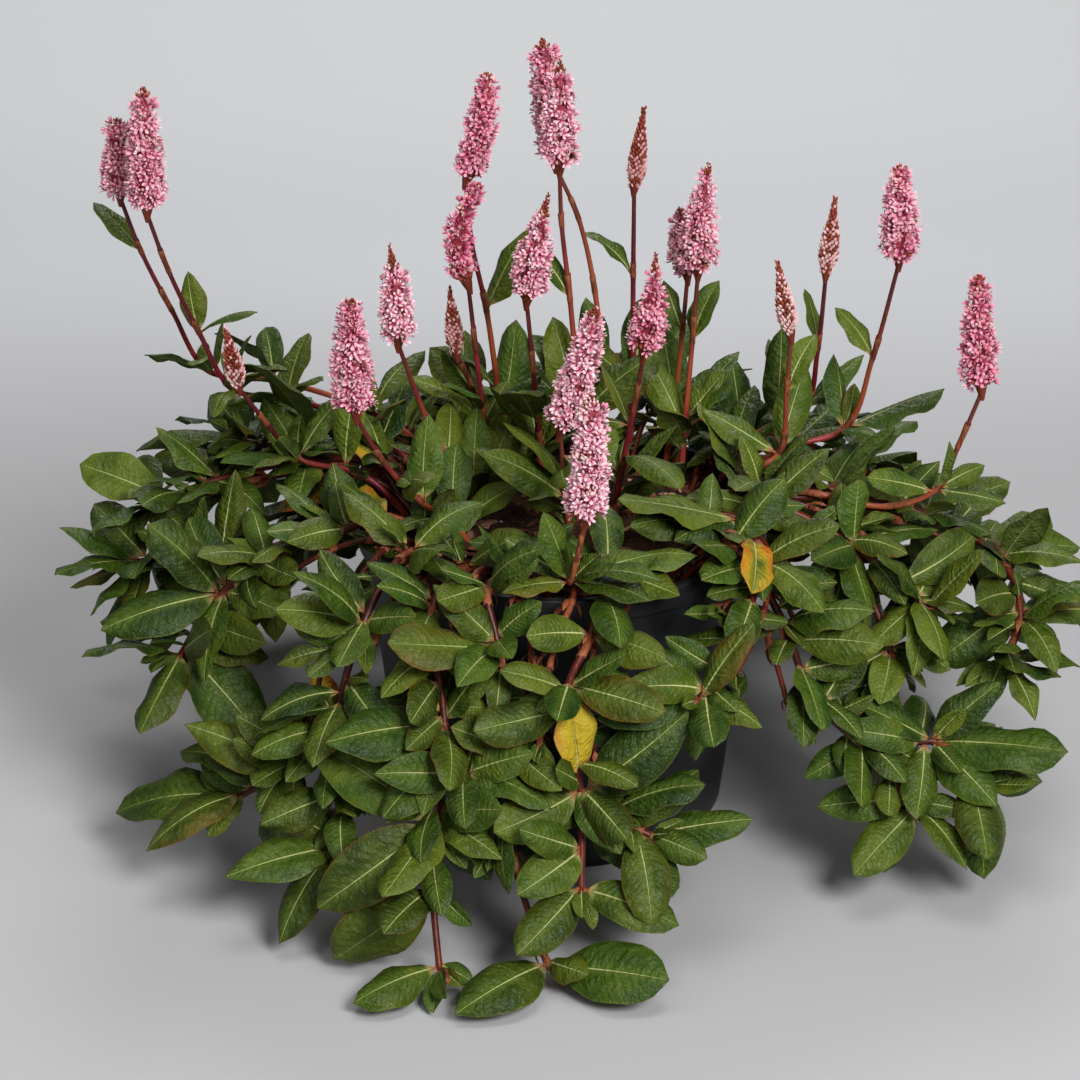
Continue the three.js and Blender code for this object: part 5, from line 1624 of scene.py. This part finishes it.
def litter_material():
    """Bark from dark brown to pinkish tan, with its grain, and grit of which a little is white."""
    nodes = Nodes("bark_litter", roughness=0.85, specular=0.25)
    tone, white, _ = nodes.values("litter_kind")
    grain = nodes.noise(1.0, detail=5, where=nodes.stretched((240, 900, 900)), distortion=0.8)
    bark = nodes.mix(nodes.band(tone, 0.0, 0.6), (84, 46, 32), (134, 74, 52))
    bark = nodes.mix(nodes.band(tone, 0.6, 1.0), bark, (204, 160, 130))
    lined = nodes.mix(nodes.band(grain, 0.46, 0.62) * 0.8, bark, (54, 34, 26))
    nodes.bump(grain, 0.0006, 0.8)
    return nodes.finish(nodes.mix(white, lined, (205, 200, 190)))


def leaf_ridges(nodes, share, out):
    """1 on a side vein and 0 midway between two. The veins leave the midrib and sweep towards the tip."""
    wandering = share + nodes.noise(150, detail=3) * 0.07
    swept = wandering - nodes.math("POWER", out, 1.3) * VEIN_SWEEP
    phase = nodes.math("FRACT", swept * VEIN_PAIRS)
    return nodes.size(phase - 0.5) * 2.0


def leaf_greens(nodes, tone, odd, broad, fine):
    """Mid-green that varies over a leaf and from one leaf to the next, towards bluish or olive."""
    shade = nodes.clamped(tone * 0.5 + broad * 0.9)
    green = nodes.mix(nodes.band(shade, 0.0, 0.55), (26, 44, 7), (50, 69, 11))
    green = nodes.mix(nodes.band(shade, 0.55, 1.0), green, (88, 100, 25))
    hue = odd * 0.14 + (broad * 0.6 - 0.24)
    cool = nodes.mix(shade, (18, 39, 6), (52, 80, 20))
    green = nodes.mix(1 - nodes.band(hue, 0.05, 0.5), green, cool)
    olive = nodes.mix(shade, (44, 52, 8), (90, 94, 22))
    green = nodes.mix(nodes.band(hue, 0.5, 0.9) * 0.7, green, olive)
    return nodes.mix(nodes.band(fine, 0.5, 0.75) * 0.35, green, (42, 66, 14))


def leaf_material():
    """A glossy, puckered leaf: cream midrib, faint side veins, pale mottling on some leaves, and yellow to
    dry brown on old ones. The under face is paler and duller."""
    nodes = Nodes("leaf_skin", specular=0.19)
    share, side, offset = nodes.values("leaf_place")
    tone, age, mottle = nodes.values("leaf_kind")
    under, odd, _ = nodes.values("leaf_side")
    out = nodes.size(side)
    away = nodes.size(offset)
    broad = nodes.noise(70, detail=3)
    fine = nodes.noise(520, detail=3)

    # Green, lighter by the midrib: a painted highlight along it
    green = leaf_greens(nodes, tone, odd, broad, fine)
    green = nodes.mix((1 - nodes.band(away, 0.5, 4.5)) * 0.4, green, (92, 112, 36))

    # Side veins, and the lighter stretches between them: a painted highlight on the bulges between the
    # veins
    ridge = leaf_ridges(nodes, share, out)
    fading = 1 - nodes.band(out, 0.55, 0.95)
    blister = (1 - ridge * ridge) * fading
    # Painted highlight on the bulges between the side veins
    green = nodes.mix(blister * (broad * 0.26), green, (98, 122, 46))
    green = nodes.mix(nodes.band(ridge, 0.8, 1.0) * fading * 0.15, green, (28, 48, 10))

    # Crinkles, with painted light on their raised middles and painted shade in their grooves, and pale
    # mottling along them
    crinkles = nodes.cells(560)
    raised = nodes.band(crinkles, 0.03, 0.3)
    # Painted light on the crinkles' raised middles
    green = nodes.mix(raised * (nodes.band(broad, 0.3, 0.7) * 0.2), green, (98, 120, 42))
    # Painted shade in the crinkles' grooves
    green = nodes.mix((1 - raised) * 0.1, green, (22, 40, 8))
    net = 1 - nodes.band(crinkles, 0.02, 0.12)
    patch = nodes.band(broad, 0.38, 0.62) * nodes.band(out, 0.12, 0.5)
    speckle = nodes.clamped(net * patch * mottle)
    green = nodes.mix(speckle * 0.45, green, (128, 140, 56))

    # Yellowing from the edge inward, and a red flush on a few leaves and edges
    aging = nodes.band(age + (out * 0.22 + (broad * 0.9 - 0.55)), 0.3, 0.65)
    gold = nodes.band(broad + out * 0.3, 0.6, 0.95)
    blade = nodes.mix(aging, green, nodes.mix(gold, (180, 156, 40), (176, 88, 24)))
    flush = nodes.band(odd, 5.9, 6.2) * nodes.band(broad + out * 0.4, 0.6, 1.0)
    blade = nodes.mix(flush * 0.18, blade, (128, 58, 30))
    edge = nodes.mix(nodes.band(odd, 4.6, 5.4), (104, 112, 40), (126, 58, 30))
    blade = nodes.mix(nodes.band(out, 0.92, 1.0) * 0.3, blade, edge)

    # Midrib and stalk
    rib_width = share * -0.68 + 0.86
    rib = 1 - nodes.band(away, rib_width * 0.35, rib_width)
    stalk = 1 - nodes.band(share, 0.06, 0.19)
    rib_colour = nodes.mix(stalk * 0.85, (196, 200, 130), (160, 64, 40))
    plain = nodes.math("FRACT", odd * 3.7) * 0.4 + 0.5
    blade = nodes.mix(nodes.larger(rib * plain, stalk) * (1 - share * 0.25), blade, rib_colour)

    # Dry leaves, brown tips and the under face
    dry = nodes.band(age, 1.2, 1.5)
    dead = nodes.mix(nodes.band(nodes.noise(140, detail=5), 0.4, 0.65), (176, 124, 88), (104, 66, 44))
    blade = nodes.mix(dry, blade, dead)
    blade = nodes.mix(nodes.band(share, 0.975, 0.995) * 0.7, blade, (72, 44, 30))
    pale = nodes.mix(0.4, blade, (104, 118, 60))
    blade = nodes.mix(under * (1 - dry), blade, pale)

    uneven = nodes.band(nodes.noise(230, detail=2), 0.3, 0.7)
    swelling = blister * (uneven * 0.7 + 0.1)
    pucker = raised * 0.25 + (fine * 0.15 + uneven * 0.9)
    nodes.bump(swelling - rib * 1.3 + pucker, 0.0005, 0.9)
    return nodes.finish(blade, fine * 0.16 + (nodes.larger(under, dry) * 0.24 + 0.36))


def stem_material():
    """Red-brown runners, and crimson flower stems that turn tan in patches and purple-brown towards their
    spikes. The sheaths and scales are papery and red-brown."""
    nodes = Nodes("stem_skin", specular=0.32)
    share, height, papery = nodes.values("stem_place")
    tone, creeping, _ = nodes.values("stem_kind")
    broad = nodes.noise(110, detail=3)
    streak = nodes.noise(1.0, detail=3, where=nodes.stretched((900, 900, 110)))
    varied = nodes.band(tone * 0.2 + broad, 0.35, 0.68)
    upright = 1 - creeping
    red = nodes.mix(varied, (58, 17, 7), (94, 33, 16))
    crimson = nodes.mix(varied, (104, 20, 32), (150, 38, 50))
    tan = nodes.band(tone * 0.5 + nodes.noise(24, detail=2) * 2.6, 1.0, 2.0) * 0.8
    red = nodes.mix(upright, red, nodes.mix(tan, crimson, (168, 92, 48)))
    tipward = nodes.band(share, 0.55, 0.95) * upright
    brown = nodes.mix(tipward * 0.75, red, (70, 30, 34))
    # Painted light: creeping runners are a little rosier and lighter low down than higher up among the
    # leaves
    low = (1 - nodes.band(height, 0.2, 0.9)) * creeping
    rosy = nodes.mix(low * 0.12, brown, (160, 70, 50))
    lined = nodes.mix(nodes.band(streak, 0.55, 0.75) * 0.28, rosy, (176, 92, 58))
    paper = nodes.mix(nodes.band(tone * 0.12 + streak, 0.38, 0.62), (90, 38, 22), (142, 74, 42))
    worn = nodes.mix(nodes.band(share, 0.5, 1.0) * 0.45, paper, (174, 112, 74))
    nodes.bump(papery * 1.5 + streak, 0.00025, 0.6)
    return nodes.finish(nodes.mix(papery, lined, worn), papery * 0.3 + 0.4)


def spike_material():
    """Tepals from deep rose at the foot to pale pink at the edge, magenta middles, red-brown bracts."""
    nodes = Nodes("spike_petals", roughness=0.55, specular=0.3)
    share, openness, part = nodes.values("floret_place")
    tone, pale, _ = nodes.values("floret_kind")
    mottled = nodes.noise(420, detail=2)
    varied = tone * 0.3 + (nodes.noise(110, detail=2) * 1.1 - 0.55)
    light = nodes.clamped(pale + varied + mottled * 0.1)
    edge = nodes.mix(light, (234, 138, 166), (242, 209, 218))
    foot = nodes.mix(light, (174, 42, 86), (230, 128, 156))
    tepal = nodes.mix(nodes.band(share, 0.2, 0.8), foot, edge)
    closed = 1 - nodes.band(openness, 0.1, 0.6)
    surface = nodes.mix(closed * 0.5, tepal, (204, 70, 118))
    further = {
        MIDDLE: nodes.mix(light, (136, 18, 52), (176, 48, 88)),
        ANTHER: (250, 214, 216),
        BUD_PART: nodes.mix(nodes.band(share, 0.15, 0.6), (176, 66, 80),
                            nodes.mix(light, (226, 164, 164), (246, 220, 214))),
        BRACT_PART: nodes.mix(nodes.band(tone * 0.3 + share, 0.1, 1.0), (104, 38, 26), (164, 84, 58)),
        CORE: nodes.mix(mottled, (116, 32, 42), (176, 66, 86)),
    }
    for number, look in further.items():
        surface = nodes.mix(nodes.band(part, number - 0.6, number - 0.4), surface, look)
    nodes.bump(mottled, 0.0001, 0.4)
    return nodes.finish(surface)


def floor_material():
    """A grey sweep with painted shading: a painted shadow of the plant makes it darkest level with the pot,
    and painted light makes it lightest far behind it.
    """
    nodes = Nodes("studio_floor", roughness=0.6, specular=0.2)
    _, depth, _ = nodes.parts(nodes.place())
    tone = FLOOR_NEAR
    # Painted shadow of the plant and painted light, band by band along Y
    for start, end, further in FLOOR_SHADING_BANDS:
        tone = nodes.mix(nodes.band(depth, start, end), tone, further)
    return nodes.finish(tone)


# Assembly

def fill_crowd(crowd, shoots, spikes):
    """What leaves may not cut through: the pot, the compost, the stems and the spikes."""
    rim_bottom = POT_HEIGHT - RIM_DEPTH
    heights = (FOOT_HEIGHT, rim_bottom, rim_bottom + 1, POT_HEIGHT)
    radii = (WALL_FOOT_RADIUS, wall_radius(rim_bottom), RIM_RADIUS, RIM_RADIUS)
    crowd.add_tube(rows_of(0, 0, heights), radii, POT_TEST_SIDES)
    ends = (-COMPOST_TEST_REACH, COMPOST_TEST_REACH)
    crowd.add([[x, y, COMPOST_TOP + 1] for x in ends for y in ends], np.array([[0, 1, 3, 2]]))
    for shoot in shoots:
        for branch in shoot.stems():
            crowd.add_tube(branch.points, branch.thickness(branch.distances))
    for spike in spikes:
        crowd.add_tube(spike.line, np.maximum(spike.wide(spike.shares), 0.4))


def add_shoots(shoots, kind, node_kind, leaf, stem):
    """One piece for the stems of a shoot and one for its leaves."""
    for shoot in shoots:
        node = f"{node_kind}_{shoot.name}"
        stalk = Surface()
        for branch in shoot.stems():
            add_stem(stalk, branch, shoot.chance, shoot.chance.uniform(-1, 1))
        add_piece(f"{kind}_stalk_{shoot.name}", stalk, stem, "stems", node)
        blades = Surface()
        for place, style in shoot.leaves:
            add_leaf(blades, place, style)
        add_piece(f"{kind}_leaves_{shoot.name}", blades, leaf, "leaves", node)


def build_plant():
    flowers = [Shoot(f"{number:02d}", [{"path": flower["route"], "tufts": flower["tufts"]}],
                     FLOWER_STEM_RADIUS, False) for number, flower in enumerate(FLOWERS, 1)]
    runners = [Shoot(name, branches, RUNNER_RADIUS, True) for name, branches in RUNNERS.items()]
    spikes = [Spike(flower, looks) for flower, looks in zip(FLOWERS, SPIKES)]
    crowd = Crowd()
    fill_crowd(crowd, flowers + runners, spikes)
    grow_listed_leaves(flowers + runners, crowd)
    grow_young_leaves(flowers + runners, crowd)
    for kind, *growth in FILLS:
        grow_filling_leaves(flowers if kind == "flower" else runners, crowd, *growth)

    leaf = leaf_material()
    stem = stem_material()
    petals = spike_material()
    add_shoots(flowers, "flower", "flower_stem", leaf, stem)
    add_shoots(runners, "runner", "leafy_runner", leaf, stem)
    for number, spike in enumerate(spikes, 1):
        slot = "flower_buds" if spike.is_bud else "petals"
        surface = spike_surface(spike, random.Random(f"spike {number}"))
        add_piece(f"spike_florets_{number:02d}", surface, petals, slot, f"flower_spike_{number:02d}")


def make_floor():
    mesh = bpy.data.meshes.new("studio_floor")
    half = FLOOR_SIZE / 2
    corners = [(-half, -half, 0), (half, -half, 0), (half, half, 0), (-half, half, 0)]
    mesh.from_pydata(corners, [], [(0, 1, 2, 3)])
    mesh.materials.append(floor_material())
    add_object("studio_floor", mesh)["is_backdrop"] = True


def aim(thing, place, target):
    """Sets a lamp or a camera at a place, to look at a target."""
    thing.location = place
    thing.rotation_euler = (Vector(target) - Vector(place)).to_track_quat("-Z", "Y").to_euler()


def make_lights():
    world = bpy.data.worlds.new("studio")
    world.use_nodes = True
    background = world.node_tree.nodes["Background"]
    background.inputs["Color"].default_value = (*WORLD_TINT, 1)
    background.inputs["Strength"].default_value = WORLD_STRENGTH
    bpy.context.scene.world = world
    for name, (place, target, size, power) in LIGHTS.items():
        lamp = bpy.data.lights.new(name, "AREA")
        lamp.shape = "DISK"
        lamp.size = size
        lamp.energy = power
        aim(add_object(name, lamp), place, target)


def make_camera():
    lens = bpy.data.cameras.new("camera")
    lens.lens = CAMERA_LENS
    lens.sensor_width = SENSOR_WIDTH
    camera = add_object("camera", lens)
    aim(camera, CAMERA_PLACE, CAMERA_AIM)
    bpy.context.scene.camera = camera
    bpy.context.scene.view_settings.view_transform = "Standard"


def write_sizes():
    """The CAD box and the finished object's box, as plain lists."""
    boxes = {"cad": CAD_BOX, "visual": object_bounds()}
    {name: [list(corner) for corner in box] for name, box in boxes.items()}


make_camera()
make_lights()
make_floor()
make_pot()
make_compost()
make_litter()
build_plant()
write_sizes()
